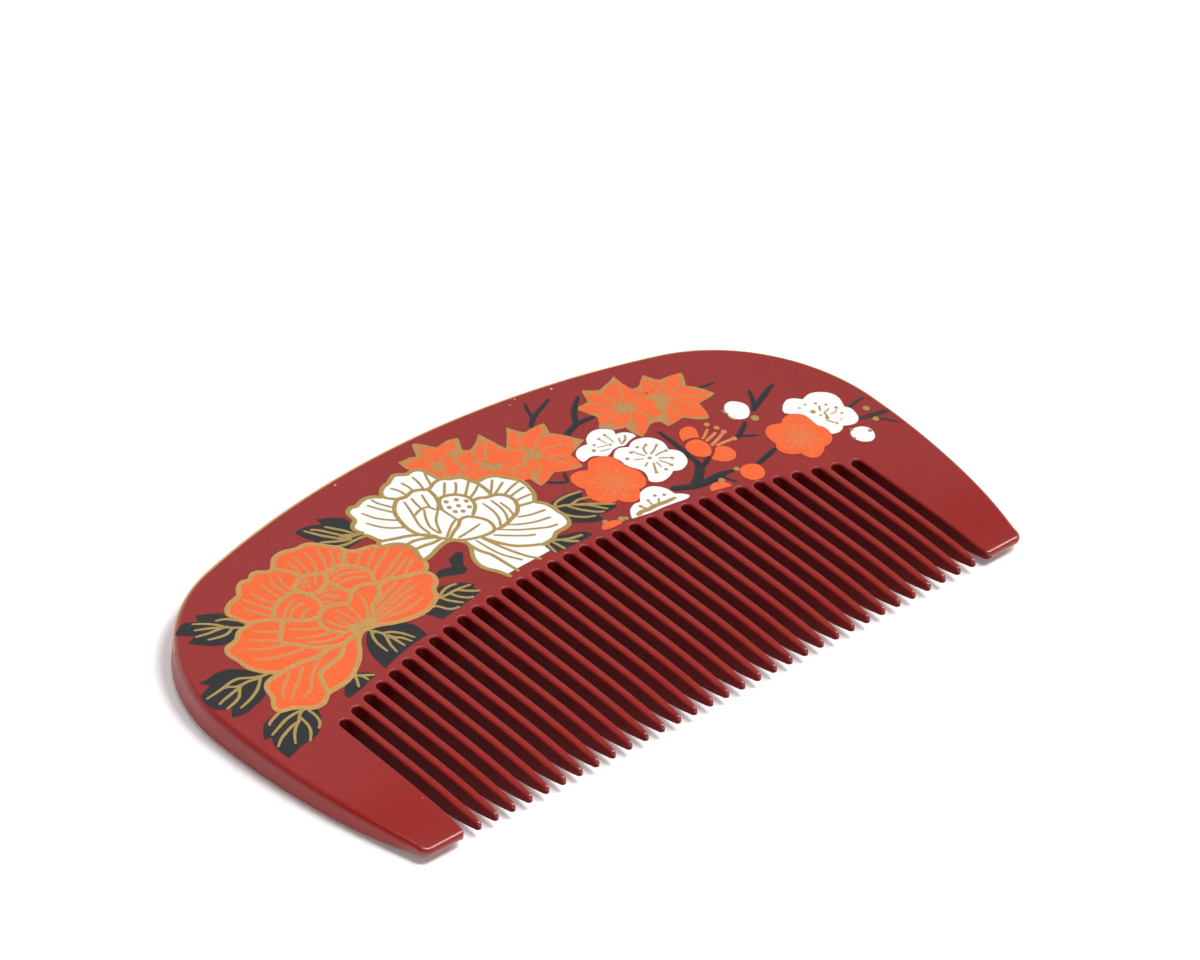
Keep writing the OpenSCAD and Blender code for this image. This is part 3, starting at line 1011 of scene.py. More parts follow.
# %% Shape of the orange peony
orange_level = 0.035
peony = border(
    [(-39.6, 30.35), (-41.2, 30.15), (-42.1, 29.75), (-42.65, 29), (-42.85, 28.1), (-43.15, 27.45),
     (-43.7, 26.8), (-43.95, 26.2)],
    [(-43.8, 25.65), (-42.9, 25.4), (-42.1, 25.15), (-41.4, 24.6), (-40.8, 24.1), (-40, 23.9),
     (-39.2, 23.92), (-38.5, 24.25), (-37.9, 24.75), (-37.2, 24.95), (-36, 25), (-34.8, 25.15),
     (-33.6, 25.55), (-32.6, 26.15), (-31.4, 26.95), (-30.2, 28.1), (-29.3, 29.3), (-28.3, 30.2)],
    [(-27.4, 30.55), (-26.2, 30.4), (-25.2, 30.15), (-24.2, 29.7), (-23, 29.35), (-21.7, 29.1), (-20.3, 29),
     (-19.2, 29.15), (-18.3, 29.5), (-17.5, 29.9), (-16.9, 30.35), (-16.6, 31), (-16.2, 31.55),
     (-15.4, 32.05), (-14.95, 32.7), (-14.9, 33.4)],
    [(-15.15, 34.3), (-14.6, 34.55), (-14.15, 35.1), (-14, 35.8), (-13.85, 36.6), (-13.6, 37.4),
     (-13.6, 38.2), (-13.9, 39), (-14.6, 39.7), (-15.4, 40), (-16.1, 40.3), (-16.8, 40.75), (-17.6, 41),
     (-18.4, 41.1), (-19.1, 41.3), (-19.7, 41.7)],
    [(-20, 42.2), (-20.2, 42.8), (-20.7, 43.3), (-21.3, 44), (-21.8, 44.6), (-22.4, 45.1), (-23.1, 45.36),
     (-23.8, 45.3), (-24.5, 45.35), (-25.2, 45.6), (-26, 45.76), (-27, 45.6), (-27.7, 45.25),
     (-28.4, 44.5)],
    [(-29, 44.05), (-29.7, 44.2), (-30.2, 44.6), (-30.7, 44.8), (-31.3, 44.7), (-31.8, 44.3), (-32.2, 44.2),
     (-32.9, 44.4), (-33.4, 44.2), (-33.95, 43.85), (-34.4, 43.3), (-34.8, 42.8), (-35.6, 42.6),
     (-36.3, 42.4), (-37, 42.05), (-37.5, 41.6), (-37.8, 41.05), (-37.65, 40.3), (-37.35, 39.6),
     (-37.1, 38.9)],
    [(-37.4, 38.35), (-38.4, 38.25), (-39.1, 37.95), (-39.55, 37.5), (-40, 37.2), (-40.7, 37.05),
     (-41.3, 36.95), (-41.9, 36.55), (-42.15, 36), (-42.15, 35.3), (-41.95, 34.4), (-41.97, 33.6),
     (-41.8, 32.8), (-41.3, 31.97), (-40.7, 31.25), (-40, 30.75)])
orange_peony, peony_lines = new_store(), new_store()
add_film(orange_peony, peony, orange_level)
paint_piece("orange_peony", orange_peony, orange_paint)

# %% Gold lines of the orange peony
outer_width, petal_edge_width = 0.58, 0.57
# The outer line goes through every second step of the border, and the others lie between the petals
outer_line = peony[::2]
add_stroke(peony_lines, outer_line + [outer_line[0]], outer_width, orange_level, start=1, end=1)
petal_edges = [
    [(-39.5, 30.4), (-37.9, 30.4), (-36.3, 30.35), (-34.8, 30.1), (-33, 30.3), (-32, 30.35), (-30.8, 30.1),
     (-29.3, 30.4), (-27.8, 30.8)],
    [(-31.8, 30.3), (-33.1, 30.95), (-34, 31.55), (-34.6, 32.4), (-35.3, 33.15), (-36.1, 33.9),
     (-35.9, 34.7), (-35, 35.5), (-34.2, 36.3), (-33.6, 36.8)],
    [(-37.2, 38.5), (-36, 38.4), (-35, 37.9), (-34.3, 37.4), (-33.7, 36.8)],
    [(-33.7, 36.9), (-34.1, 37.7), (-33.5, 38.5), (-32.8, 39.05), (-32, 39.5), (-31.2, 39.7),
     (-30.2, 39.85), (-29.3, 39.95), (-28.8, 40.5), (-28.1, 40.85), (-27.3, 41.3)],
    [(-28.95, 44), (-28.5, 43.85), (-27.9, 43.3), (-27.4, 42.6), (-27.2, 42), (-27.2, 41.3)],
    [(-27.3, 41.3), (-26.4, 41.2), (-25.4, 40.85), (-24.6, 40.4), (-23.6, 40.35), (-22.6, 40.5),
     (-21.6, 40.2)],
    [(-20.1, 42.1), (-20.5, 41.5), (-21.1, 40.8), (-21.5, 40.1), (-20.9, 39.2), (-20.4, 38.4),
     (-20.3, 37.4), (-20.8, 36.4), (-20.9, 35.6)],
    [(-15.3, 34.2), (-16.6, 34.6), (-18, 35), (-19.2, 35.4), (-20.2, 35.45), (-21, 35.3), (-21.5, 34.6),
     (-22.2, 34), (-23.2, 33.4), (-24, 33), (-24.6, 32.2), (-25.2, 31.4), (-25.7, 30.7)],
    [(-26.2, 34.9), (-25.5, 35.15), (-24.9, 35.65), (-24.2, 36.2), (-23.4, 36.5), (-22.2, 36.4),
     (-21.3, 35.9), (-20.9, 35.4)],
    [(-29.2, 31.4), (-29.9, 31.9), (-30.5, 32.6), (-30.75, 33.4), (-30.5, 34.3), (-30.05, 35),
     (-29.3, 35.5), (-28.4, 35.8), (-27.4, 35.65), (-26.6, 35.4), (-26.1, 35)],
    [(-33.6, 36.75), (-32.7, 36.2), (-31.8, 35.55), (-31, 35.2), (-30.1, 35.1)],
    [(-29.4, 39.9), (-28.8, 39.3), (-28.4, 38.3), (-28.2, 37.3), (-28.4, 36.4), (-28.9, 35.75)],
    [(-29, 40.2), (-28.7, 39.2), (-27.9, 38.45), (-26.9, 38.4), (-26.1, 38.7), (-25.4, 39.1), (-24.8, 39.7),
     (-24.5, 40.3)], [(-25.4, 39.1), (-25, 38.2), (-24.8, 37.4), (-24.4, 36.7), (-23.9, 36.3)],
    [(-37.6, 25.05), (-37, 26.2), (-36.6, 27.2), (-35.9, 27.95), (-34.7, 28.25), (-33.6, 28.45),
     (-32.4, 28.8), (-31.5, 29.4), (-30.8, 30)],
]
for line in petal_edges:
    add_stroke(peony_lines, line, petal_edge_width, orange_level, start=1, end=1)
print("lines between the petals:", len(petal_edges))

# %% Veins of the orange peony
petal_vein_width = 0.38
petal_veins = [
    [(-42, 27.2), (-41, 28.4), (-39.9, 29), (-39, 29.8)],
    [(-41.6, 26.3), (-40.5, 27.2), (-39.4, 27.9), (-38.1, 28.9), (-37, 29.7)],
    [(-40.1, 25.9), (-38.7, 26.5), (-37.6, 27.6), (-36.5, 28.5), (-35.1, 29.4), (-34.4, 29.9)],
    [(-37.3, 37.3), (-36.5, 36.5), (-35.7, 36), (-35.2, 35.8)],
    [(-38.6, 36.3), (-37.6, 35.5), (-36.3, 34.6)], [(-40, 35.4), (-38.7, 34.5), (-37, 33.9), (-35.8, 33.6)],
    [(-40.5, 33.7), (-39.2, 32.9), (-37.6, 32.45), (-36, 32.1), (-34.7, 32)],
    [(-33.9, 35.2), (-32.9, 34.5), (-32, 33.9), (-30.9, 33.6)],
    [(-34.3, 33.7), (-33.4, 33.2), (-32.2, 32.7), (-30.7, 32.4)],
    [(-33.8, 32.4), (-32.4, 31.7), (-31.3, 31.35), (-29.6, 31.3)],
    [(-35.7, 41.05), (-35.5, 40.2), (-35, 39.4), (-34.4, 38.4), (-34, 37.9)],
    [(-34.8, 42), (-34.4, 40.8), (-33.95, 40), (-33.3, 38.9)],
    [(-33.35, 42.2), (-33.2, 41.3), (-32.9, 40.3), (-32.3, 39.5)],
    [(-31.6, 42.8), (-31.6, 41.8), (-31.5, 40.8), (-31.2, 39.9)],
    [(-30.1, 43.1), (-30.4, 42), (-30.4, 41), (-30.3, 40.1)],
    [(-28.95, 42.95), (-29.4, 42), (-29.5, 41), (-29.3, 40.2)],
    [(-26.6, 44.1), (-26.5, 43.2), (-26.7, 42.2), (-26.9, 41.5)],
    [(-25.4, 44.4), (-25.6, 43.1), (-25.7, 42), (-26.1, 41.2)],
    [(-24.05, 44.3), (-24.15, 42.9), (-24.6, 41.8), (-25.1, 41)],
    [(-22.4, 44), (-22.9, 42.6), (-23.5, 41.3), (-24, 40.5)], [(-21.4, 43), (-22, 41.8), (-22.8, 40.7)],
    [(-20.9, 42), (-21.5, 41.1)], [(-18.6, 41), (-19.6, 40.2), (-20.6, 39.3)],
    [(-17, 40.2), (-18.2, 39.6), (-19.4, 38.8), (-20.2, 38.3)],
    [(-15.6, 39.6), (-17.2, 38.8), (-18.8, 38), (-20.1, 37.2)],
    [(-14.6, 38.4), (-16.4, 37.6), (-18, 36.8), (-19.9, 36)],
    [(-15, 37.3), (-16.4, 36.6), (-17.6, 36.1), (-19.4, 35.6)], [(-14.8, 36.6), (-16, 35.9), (-17.2, 35.2)],
    [(-19, 34.6), (-20.4, 34.2), (-21.8, 33.6), (-23.2, 33.1)],
    [(-17.4, 34.1), (-19.2, 33.6), (-21.2, 33), (-23.2, 32.4), (-24.4, 32)],
    [(-17.2, 33), (-19, 32.8), (-21.2, 32.4), (-23, 31.95), (-24.6, 31.6)],
    [(-18.8, 32), (-20, 31.8), (-22, 31.4), (-24.6, 31.1)],
    [(-18.2, 31), (-19.8, 30.7), (-21.4, 30.5), (-23.4, 30.7), (-25.2, 30.9)],
    [(-29.75, 34.3), (-29.5, 33.2), (-29, 32.3), (-28.5, 31.7)],
    [(-28.55, 33.9), (-28.4, 32.9), (-28, 31.8)],
    [(-27.7, 34.9), (-27.4, 33.7), (-27.25, 32.6), (-27.2, 31.7)],
    [(-26.2, 34.9), (-26.2, 33.8), (-26.3, 32.9), (-26.6, 31.8)],
    [(-23.9, 35.5), (-24, 34.4), (-24.6, 33.3), (-25.3, 32.4), (-26, 31.4)],
    [(-33.4, 36.9), (-32.5, 37.7), (-31.5, 38.3), (-30.3, 38.8)],
    [(-32.8, 36.6), (-31.8, 37.4), (-30.9, 37.75), (-29.8, 37.85)],
    [(-31.8, 35.7), (-31.2, 36.3), (-30.5, 36.65), (-29.7, 36.75)], [(-28.1, 39.6), (-27.8, 40.4)],
    [(-27.5, 39.4), (-27.3, 40.2), (-26.9, 40.7)], [(-26.6, 39.4), (-26, 40.2), (-25.6, 40.5)],
    [(-20.8, 38.2), (-22, 38.8), (-23.2, 39.1), (-24.6, 38.9)],
    [(-21, 37.2), (-22, 37.8), (-23.2, 38.1), (-24.5, 38)], [(-21.2, 39.4), (-22.6, 39.8), (-24, 39.7)],
    [(-27.5, 37.4), (-26.4, 37.4)], [(-27.7, 36.6), (-27.2, 36.2)], [(-26.6, 36.4), (-25.8, 36.5)],
    [(-25.6, 38.2), (-25.5, 37.4)], [(-27.6, 38.1), (-26.2, 38)], [(-26.9, 37), (-26.1, 36.9)],
]
peony_veins = new_store()
for line in petal_veins:
    add_stroke(peony_veins, line, petal_vein_width, orange_level, start=0.6, end=1)
paint_piece("orange_peony_veins", peony_veins, thin_gold_paint)

# %% Heart of the orange peony, where the gold lines run together
heart_rise = 0.012
peony_heart = border(
    [(-28.9, 31.7), (-27.9, 32), (-26.8, 31.8), (-25.7, 31.9), (-25, 31.2)],
    [(-25.6, 30.4), (-26.8, 30.3), (-28.1, 30.4)], [(-29, 31)])
add_film(peony_lines, peony_heart, orange_level + heart_rise)
paint_piece("orange_peony_gold", peony_lines, gold_paint)

# %% [markdown]
# ## Maple leaves
# Five small maple leaves lie in two bunches behind the flowers. Each bunch is laid out first as one pointed
# shape in gold. Orange patches are then set on it, and the gold that stays free between them makes the edges
# and the broad ribs. Where two patches meet, a thin rib is drawn over them.

# %% Shapes of the maple leaves
maple_level = 0.028
back_maples = border(
    [(-4.5, 50.45), (-3.8, 50.35), (-2.9, 50.35)], [(-2.25, 50), (-1.9, 50.3), (-1.5, 51.1)],
    [(-1.05, 51.95), (-0.75, 51.95), (-0.2, 51.6), (0.3, 50.9)], [(0.95, 49.95), (1.8, 50.1), (3, 50.2)],
    [(4.15, 49.85), (3.85, 49.2), (3.4, 48.5)], [(3.1, 48), (3.35, 47.7)],
    [(3.8, 47.45), (4.7, 47.8), (5.7, 48.4)], [(6.6, 49.1), (6.75, 48.3), (7, 47.2), (7.2, 46)],
    [(7.45, 45.3), (8, 45.85), (9, 46.9)], [(10.1, 48.15), (10.4, 47.5), (10.8, 46.7)],
    [(11.2, 46.25), (12, 46.3), (13.2, 46.35)], [(14.2, 46.25), (13.95, 45.5)],
    [(13.5, 44.5), (14, 44), (14.7, 43.2), (15.3, 42.2)], [(15.95, 41.3), (15, 41), (13.8, 40.6)],
    [(12.8, 40.25), (12.6, 39.7), (12.6, 38.7)], [(12.45, 37.85), (11.5, 37.95), (10.3, 38.3), (9.5, 38.7)],
    [(9, 38.95), (8.3, 38.7), (7.3, 38.25)], [(6.05, 37.95), (5.9, 38.5), (5.85, 39.3)],
    [(5.7, 39.75), (4.9, 39.8)], [(4.2, 40.2), (2, 42.2), (0.4, 42.2), (-0.6, 43.8), (-2.4, 44.8)],
    [(-3.2, 46.4), (-3.4, 47.4)], [(-4.2, 48.2), (-4.5, 49), (-4.55, 49.7)])
side_maples = border(
    [(22.15, 48.3), (22.7, 47.85), (23.3, 47.4)], [(23.95, 47.15), (24.8, 47.4), (26, 47.7)],
    [(27.05, 48.1), (27, 47.35), (26.95, 46.3)], [(27.05, 45.45), (27.3, 45.05)],
    [(28.2, 45.05), (28.95, 45.6)], [(30.05, 46.35), (30.35, 45.75), (30.7, 45)],
    [(31.15, 44.55), (32.2, 44.5), (33.35, 44.3)], [(34.15, 44.1), (33.85, 43.4), (33.35, 42.65)],
    [(32.85, 42), (33.5, 41.3), (34.1, 40.4)], [(34.65, 39.05), (33.65, 38.8), (32.6, 38.75)],
    [(31.8, 38.7), (31.6, 37.95), (31.3, 36.9)], [(30.8, 36), (29.95, 36.3), (29.25, 36.85), (28.65, 37.5)],
    [(28.2, 37.85), (27.3, 37.7)], [(25.75, 37.65), (25.7, 38.25), (25.55, 38.75)],
    [(25.1, 39.05), (24.4, 39.1), (23.65, 38.75), (22.75, 38.25)],
    [(21.85, 37.9), (21.65, 38.55), (21.45, 39.4)], [(21.5, 40.3), (20.85, 40.45), (20.1, 40.7)],
    [(19.6, 41.3), (19.2, 41.7)], [(18.85, 42), (19.5, 42.6)],
    [(20, 43.15), (20.1, 43.7), (19.75, 44.4), (19.5, 45.15)], [(19.2, 45.8), (19.6, 46.2), (20.4, 46.2)],
    [(21.15, 46.25), (21.45, 46.75), (21.75, 47.65)])
maples = new_store()
add_film(maples, back_maples, maple_level)
add_film(maples, side_maples, maple_level)
paint_piece("gold_maple_leaves", maples, maple_gold_paint)

# %% Orange patches of the back leaves
lobe_level = 0.038
back_lobes = [
    [(-4.05, 48.7), (-4, 49.3), (-3.2, 49.55), (-2.6, 49.3), (-1.6, 49.6), (-1.4, 48.9), (-1.6, 48.2),
     (-2.3, 48), (-3, 48.3)],
    [(-1.1, 48.1), (-0.95, 49.3), (-0.75, 50.2), (-0.55, 50.7), (-0.2, 50.3), (0.1, 49.8), (1, 49.6),
     (2.1, 49.65), (3, 49.55), (2.9, 49.1), (1.9, 48.8), (0.6, 48.5), (-0.3, 48.15)],
    [(-0.5, 47), (0.1, 47.5), (0.7, 47.85), (1, 47.6), (0.8, 47.1), (0.3, 46.75), (-0.3, 46.7)],
    [(-1.2, 45.5), (-1, 46.1), (-0.4, 46.5), (0.1, 46.4), (0.6, 46.1), (0.5, 45.6), (-0.1, 45.3),
     (-0.8, 45.2)], [(-2.4, 45.9), (-2.3, 46.5), (-1.9, 46.4), (-1.8, 45.8), (-2.1, 45.5)],
    [(-3, 47.9), (-2.6, 47.9), (-2.1, 47), (-2.4, 46.8)],
    [(1.5, 46.8), (1.9, 47.2), (2.4, 47), (2.6, 46), (2.9, 45), (2.8, 44.5), (2.2, 44.4), (1.7, 45.2),
     (1.5, 46)], [(2.8, 46.9), (3.1, 47.4), (3.4, 46.8), (3.3, 46), (2.95, 46.2)],
    [(3.6, 46), (4.2, 46.6), (5, 47.3), (5.5, 47.6), (5.9, 47.5), (5.2, 46.7), (4.5, 45.8), (4, 45),
     (3.7, 45.1)],
    [(4.2, 44.6), (4.9, 45.4), (5.6, 46.3), (6.2, 47), (6.5, 47), (6.5, 46.2), (6.6, 45.3), (7, 44.8),
     (7.9, 44.2), (8.6, 43.7), (8.3, 43.3), (7.2, 43.5), (6, 43.7), (5, 43.9), (4.4, 44.2)],
    [(0.1, 44.2), (0.3, 44.9), (1, 44.9), (1.9, 44.5), (2.6, 44.1), (1.5, 44.2), (0.6, 44.3)],
    [(0.2, 43.9), (1.2, 43.95), (2.4, 43.7), (3.3, 43.2), (3, 42.75), (1.8, 42.7), (0.8, 42.8),
     (0.3, 43.3)],
    [(3.4, 42.6), (4, 42.8), (4.4, 42.3), (5, 41.3), (5.9, 40.4), (6.3, 40), (5.6, 39.9), (5.1, 40.1),
     (4.5, 40.9), (3.9, 41.8)],
    [(4.9, 43.1), (5.9, 43.3), (6.9, 43.3), (7.6, 42.9), (6.9, 42.5), (5.8, 42.2), (5.1, 42.3),
     (4.8, 42.7)], [(5.3, 41.8), (6.2, 41.9), (6.7, 41.2), (6.5, 40.4), (5.9, 40.8)],
    [(7.1, 41.6), (7.8, 41.9), (8.6, 41.9), (8.9, 41.6), (8.2, 40.9), (7.6, 40.4), (7.3, 40.8)],
    [(6.5, 38.4), (6.7, 39), (7.6, 39.7), (8.5, 40.7), (9.4, 41.6), (9.9, 41.3), (10.3, 40.4), (10.9, 39.6),
     (11.6, 38.5), (11, 38.4), (10, 38.7), (9, 39.2), (7.9, 38.9), (7, 38.5)],
    [(10.2, 41.5), (10.7, 41), (11.6, 40.6), (12.4, 40), (12.5, 38.9), (12.2, 38.3), (11.8, 38.9),
     (11.1, 40), (10.5, 40.9)],
    [(10.1, 42.2), (11.2, 42.5), (12.5, 42.5), (13.6, 42), (14.3, 41.5), (13.4, 40.8), (12.6, 40.4),
     (11.5, 40.9), (10.5, 41.6)],
    [(10.1, 43.2), (10.8, 43.7), (11.7, 44.3), (12.5, 44.3), (13.2, 43.8), (14, 43.1), (14.6, 42.1),
     (14.2, 41.9), (12.9, 42.6), (11.4, 42.8), (10.4, 42.8)],
    [(9.4, 45.1), (9.8, 45.6), (10.5, 45.7), (11.5, 45.8), (12.9, 45.9), (13.3, 45.6), (12.3, 45),
     (11.1, 44.3), (10.2, 43.7), (9.6, 43.9), (9.5, 44.5)],
    [(8.1, 45), (8.5, 45.7), (9.2, 46.5), (9.8, 47), (10.1, 46.8), (9.8, 46), (9.3, 45.3), (9, 44.6),
     (8.5, 44.5)],
]
print("patches of the back leaves:", len(back_lobes))

# %% Orange patches of the side leaves
side_lobes = [
    [(21.7, 46.3), (22, 46.9), (22.9, 46.95), (23.3, 46.2), (23.6, 45.4), (23.8, 44.4), (23.2, 44.3),
     (22.6, 44.6), (22, 45.4)],
    [(19.6, 45.6), (20.4, 45.8), (21.3, 45.5), (21.9, 45), (23, 43.95), (22.2, 43.75), (21.3, 43.9),
     (20.6, 44.3), (20, 44.9)],
    [(19.8, 42.8), (20.4, 43.3), (21.3, 43.6), (22.2, 43.6), (22.8, 43.2), (22, 42.7), (21.2, 42.4),
     (20.3, 42.3)],
    [(20.7, 41.8), (21.6, 42.2), (22.6, 42.3), (23.5, 42.2), (23, 41.4), (22.3, 41), (21.4, 40.9)],
    [(22, 38.5), (22.8, 39.6), (23.3, 40.4), (23.6, 41.2), (24.2, 41.8), (24.9, 41.7), (24.9, 40.8),
     (24.4, 39.9), (23.3, 38.9)],
    [(25, 42.4), (25.6, 43), (26.3, 43.2), (27.2, 42.8), (27.5, 41.9), (26.9, 41.2), (26, 41.1),
     (25.3, 41.6)],
    [(24.7, 44), (25.2, 44.6), (26, 45), (26.8, 44.8), (27.4, 44.3), (28, 43.5), (27.3, 43.3),
     (26.3, 43.45), (25.3, 43.5)],
    [(23.8, 45.6), (23.9, 46.3), (24.7, 46.7), (25.6, 46.9), (26.4, 47.1), (25.9, 46), (25.3, 45.2),
     (24.7, 44.5), (24.1, 44.2)],
    [(26.5, 46.9), (26.8, 46.2), (26.8, 45.5), (26.3, 45.1), (25.7, 45), (26.1, 45.9)],
    [(28, 43.5), (28.3, 44.3), (28.8, 44.9), (29.5, 45.5), (29.6, 44.7), (29.5, 44), (29.4, 43.1),
     (28.7, 43)],
    [(29.8, 45.5), (30.1, 44.8), (30.4, 44.2), (31, 43.9), (30.3, 43.4), (29.6, 43), (29.6, 43.8),
     (29.75, 44.6)],
    [(29.5, 42.8), (30.6, 43.4), (31.6, 43.9), (32.6, 44.1), (33.4, 43.9), (32.7, 43.1), (32.1, 42.6),
     (31.3, 42.35), (30.4, 42.4)],
    [(29.4, 42.1), (30.7, 42.2), (32, 42.2), (32.5, 41.6), (33.1, 40.6), (33.9, 39.4), (33.2, 39.5),
     (32.2, 40), (31, 40.8), (30, 41.4)],
    [(29.2, 41), (30.5, 40.9), (31.5, 40.4), (32.4, 39.8), (33.3, 39.1), (32, 39.1), (31.2, 39),
     (30.6, 39.5), (29.8, 40.2)],
    [(28.5, 40.4), (29.3, 40.3), (30, 39.9), (30.7, 39.1), (31.3, 38.5), (31.2, 37.6), (30.8, 36.6),
     (30.1, 37), (29.3, 37.5), (28.7, 38.2), (28.5, 39.2)],
    [(26.7, 38.1), (27.3, 39), (27.8, 39.7), (28.4, 40.4), (28.35, 39.2), (28.4, 38.3), (27.6, 38)],
    [(25.1, 41.1), (25.6, 41), (26.3, 40.7), (27.1, 40.3), (26.5, 39.9), (25.7, 39.8), (25.3, 40.3)],
]
print("patches of the side leaves:", len(side_lobes))

# %% Pointed patches
# The patches are drawn a little wider than charted. They take turns between three levels, so that no two
# tops lie in one plane where patches overlap.
patch_growth, level_step, level_turns = 0.22, 0.002, 3
# A border stays pointed where it turns by more than this angle
sharp_turn = 52


def widened(line, by):
    """The closed line moved outwards by a distance."""
    line = turned_left([np.array(q, float) for q in line])
    moved = []
    for before, q, after in zip(line[-1:] + line[:-1], line, line[1:] + line[:1]):
        ahead = unit(after - before)
        moved.append(q + by * np.array([ahead[1], -ahead[0]]))
    return moved


def pointed_border(ring):
    """A closed soft border that stays pointed at its sharp turns."""
    p = [np.array(q, float) for q in ring]
    turns = []
    for before, q, after in zip(p[-1:] + p[:-1], p, p[1:] + p[:1]):
        (ax, ay), (bx, by) = q - before, after - q
        turns.append(abs(math.degrees(math.atan2(ax * by - ay * bx, ax * bx + ay * by))))
    corners = [i for i, turn in enumerate(turns) if turn > sharp_turn]
    if len(corners) < 2:
        return border(ring)
    ring = ring[corners[0]:] + ring[:corners[0]]
    cuts = [i - corners[0] for i in corners] + [len(ring)]
    return border(*[ring[a:b] for a, b in zip(cuts, cuts[1:])])


lobes = new_store()
for i, lobe in enumerate(back_lobes + side_lobes):
    add_film(lobes, widened(pointed_border(lobe), patch_growth), lobe_level + level_step * (i % level_turns))
paint_piece("orange_maple_patches", lobes, orange_paint)

# %% Thin ribs where two patches meet
rib_width, rib_rise, rib_ridge = 0.23, 0.004, 0.004
rib_lines = [
    [(-1.3, 48.2), (-1.15, 49.5), (-0.9, 50.8)], [(3.9, 44.9), (4.9, 46.2), (6.2, 47.4)],
    [(0.2, 44.05), (1.5, 44.1), (2.8, 43.8)], [(4.6, 42.6), (5.2, 41.9), (5.9, 40.7)],
    [(5, 42.1), (6.5, 42.15), (7.8, 42.4)], [(6.9, 41.7), (6.95, 41), (6.9, 40.4)],
    [(9, 41.8), (8, 40.3), (6.8, 39.3)], [(10.1, 41.3), (10.7, 40.2), (11.7, 38.5)],
    [(10.3, 41.6), (11.3, 40.8), (12.5, 40.2)], [(9.9, 42.5), (11.5, 42.65), (13.5, 42.1), (14.8, 41.6)],
    [(9.9, 43.3), (11.2, 44.2), (13, 45.2)], [(9.2, 44.6), (9.6, 45.7), (10.4, 46.5)],
    [(2.7, 44.2), (2.9, 45.4), (2.6, 47)], [(23.95, 44), (23.8, 45.2), (23.3, 46.7)],
    [(23.2, 44.1), (21.9, 45.2), (21.3, 46.1)], [(23, 43.7), (21.5, 43.7), (20.3, 43.8)],
    [(23.1, 42.6), (21.6, 42.45), (20.3, 42.1)], [(23.5, 41.8), (22.9, 40.8), (22, 40)],
    [(25, 42), (25.1, 41), (25.2, 39.8)], [(25, 43.2), (26.3, 43.3), (27.6, 43)],
    [(24.6, 44.3), (25.5, 45), (26.5, 46.8)], [(29.3, 43.1), (29.7, 44.6), (29.8, 45.7)],
    [(29.6, 43), (30.4, 43.4), (31.2, 44.1)], [(29.5, 42.2), (31, 42.2), (32.6, 42.3)],
    [(29.5, 41.4), (31.4, 40.6), (33.5, 39.4)], [(29.2, 40.5), (30.2, 39.9), (31, 39)],
    [(28.45, 40.2), (28.5, 39), (28.5, 37.9)],
]
maple_ribs = new_store()
for line in rib_lines:
    add_stroke(maple_ribs, line, rib_width, lobe_level + rib_rise, start=1, end=0.8, ridge=rib_ridge)
paint_piece("gold_maple_ribs", maple_ribs, maple_gold_paint)

# %% [markdown]
# ## White peony
# The white flower is painted after the maple leaves and lies over them. Its lower petals end in a clean
# line above the teeth, as if the painter had masked the teeth. It is built as the orange one is: a film,
# broad gold lines between the petals, and thin veins.

# %% Shape of the white peony
white_level = 0.045
white_shape = border(
    [(-7.9, 28.6), (-8.5, 29.6), (-9.1, 30.5), (-9.4, 31.4), (-9.3, 32.3), (-8.9, 33.2), (-8.3, 34),
     (-7.95, 34.6)],
    [(-7.95, 35.4), (-8.3, 36), (-9, 36.5), (-10, 36.65), (-11.4, 36.35), (-12.7, 35.9), (-13.6, 35.75)],
    [(-14.05, 36.1), (-13.8, 36.8), (-13.5, 37.5), (-13.5, 38.3), (-13.8, 39), (-14.5, 39.6),
     (-15.4, 39.95)], [(-16.2, 40.3), (-16.1, 40.75), (-15.4, 41.1)],
    [(-15.3, 41.2), (-15.9, 41.8), (-16.2, 42.6)],
    [(-16.3, 43.2), (-16.7, 44.1), (-16.4, 44.8), (-15.6, 45.25)],
    [(-15.45, 45.9), (-15.4, 46.6), (-15, 47.1), (-14.3, 47.3), (-13.7, 47.15), (-12.9, 47.45), (-12, 47.6),
     (-11.2, 47.4), (-10.6, 47)],
    [(-10.2, 46.75), (-9.9, 47.3), (-9.3, 47.8), (-8.6, 48.1), (-8, 48.2), (-7.6, 48.4), (-6.9, 48.8),
     (-6.4, 48.85), (-5.8, 48.55), (-5.3, 48.2)],
    [(-4.9, 48.25), (-4.4, 48.35), (-3.8, 48.2), (-3.3, 47.8), (-3.1, 47.2), (-2.95, 46.5), (-2.8, 45.8)],
    [(-2.7, 45.3), (-2.2, 45.2), (-1.7, 44.8), (-1.1, 44.6), (-0.5, 44.3), (-0.15, 43.7), (0, 43.1)],
    [(0.25, 42.6), (0.8, 42.65), (1.6, 42.7), (2.4, 42.5), (3.1, 42.1), (3.7, 41.3), (4.3, 40.6),
     (4.7, 39.9), (4.75, 39), (4.6, 38.2), (4.3, 37.3), (3.8, 36.7)],
    [(3.4, 36.25), (3.8, 35.8), (4.2, 35.2), (4.4, 34.4), (4.4, 33.4), (4.55, 32.6), (4.4, 31.9),
     (4.1, 31.3), (3.5, 30.95), (2.6, 30.85), (1.8, 30.85)],
    [(1.4, 30.65), (0.7, 30.25), (0, 30.1), (-0.8, 30.1)], [(-1.15, 30), (-1.1, 29.5)],
    [(-1.15, 28.9), (-3, 28.82), (-5, 28.76), (-6.5, 28.7)])
white_peony, white_lines = new_store(), new_store()
add_film(white_peony, white_shape, white_level)
paint_piece("white_peony", white_peony, white_paint)

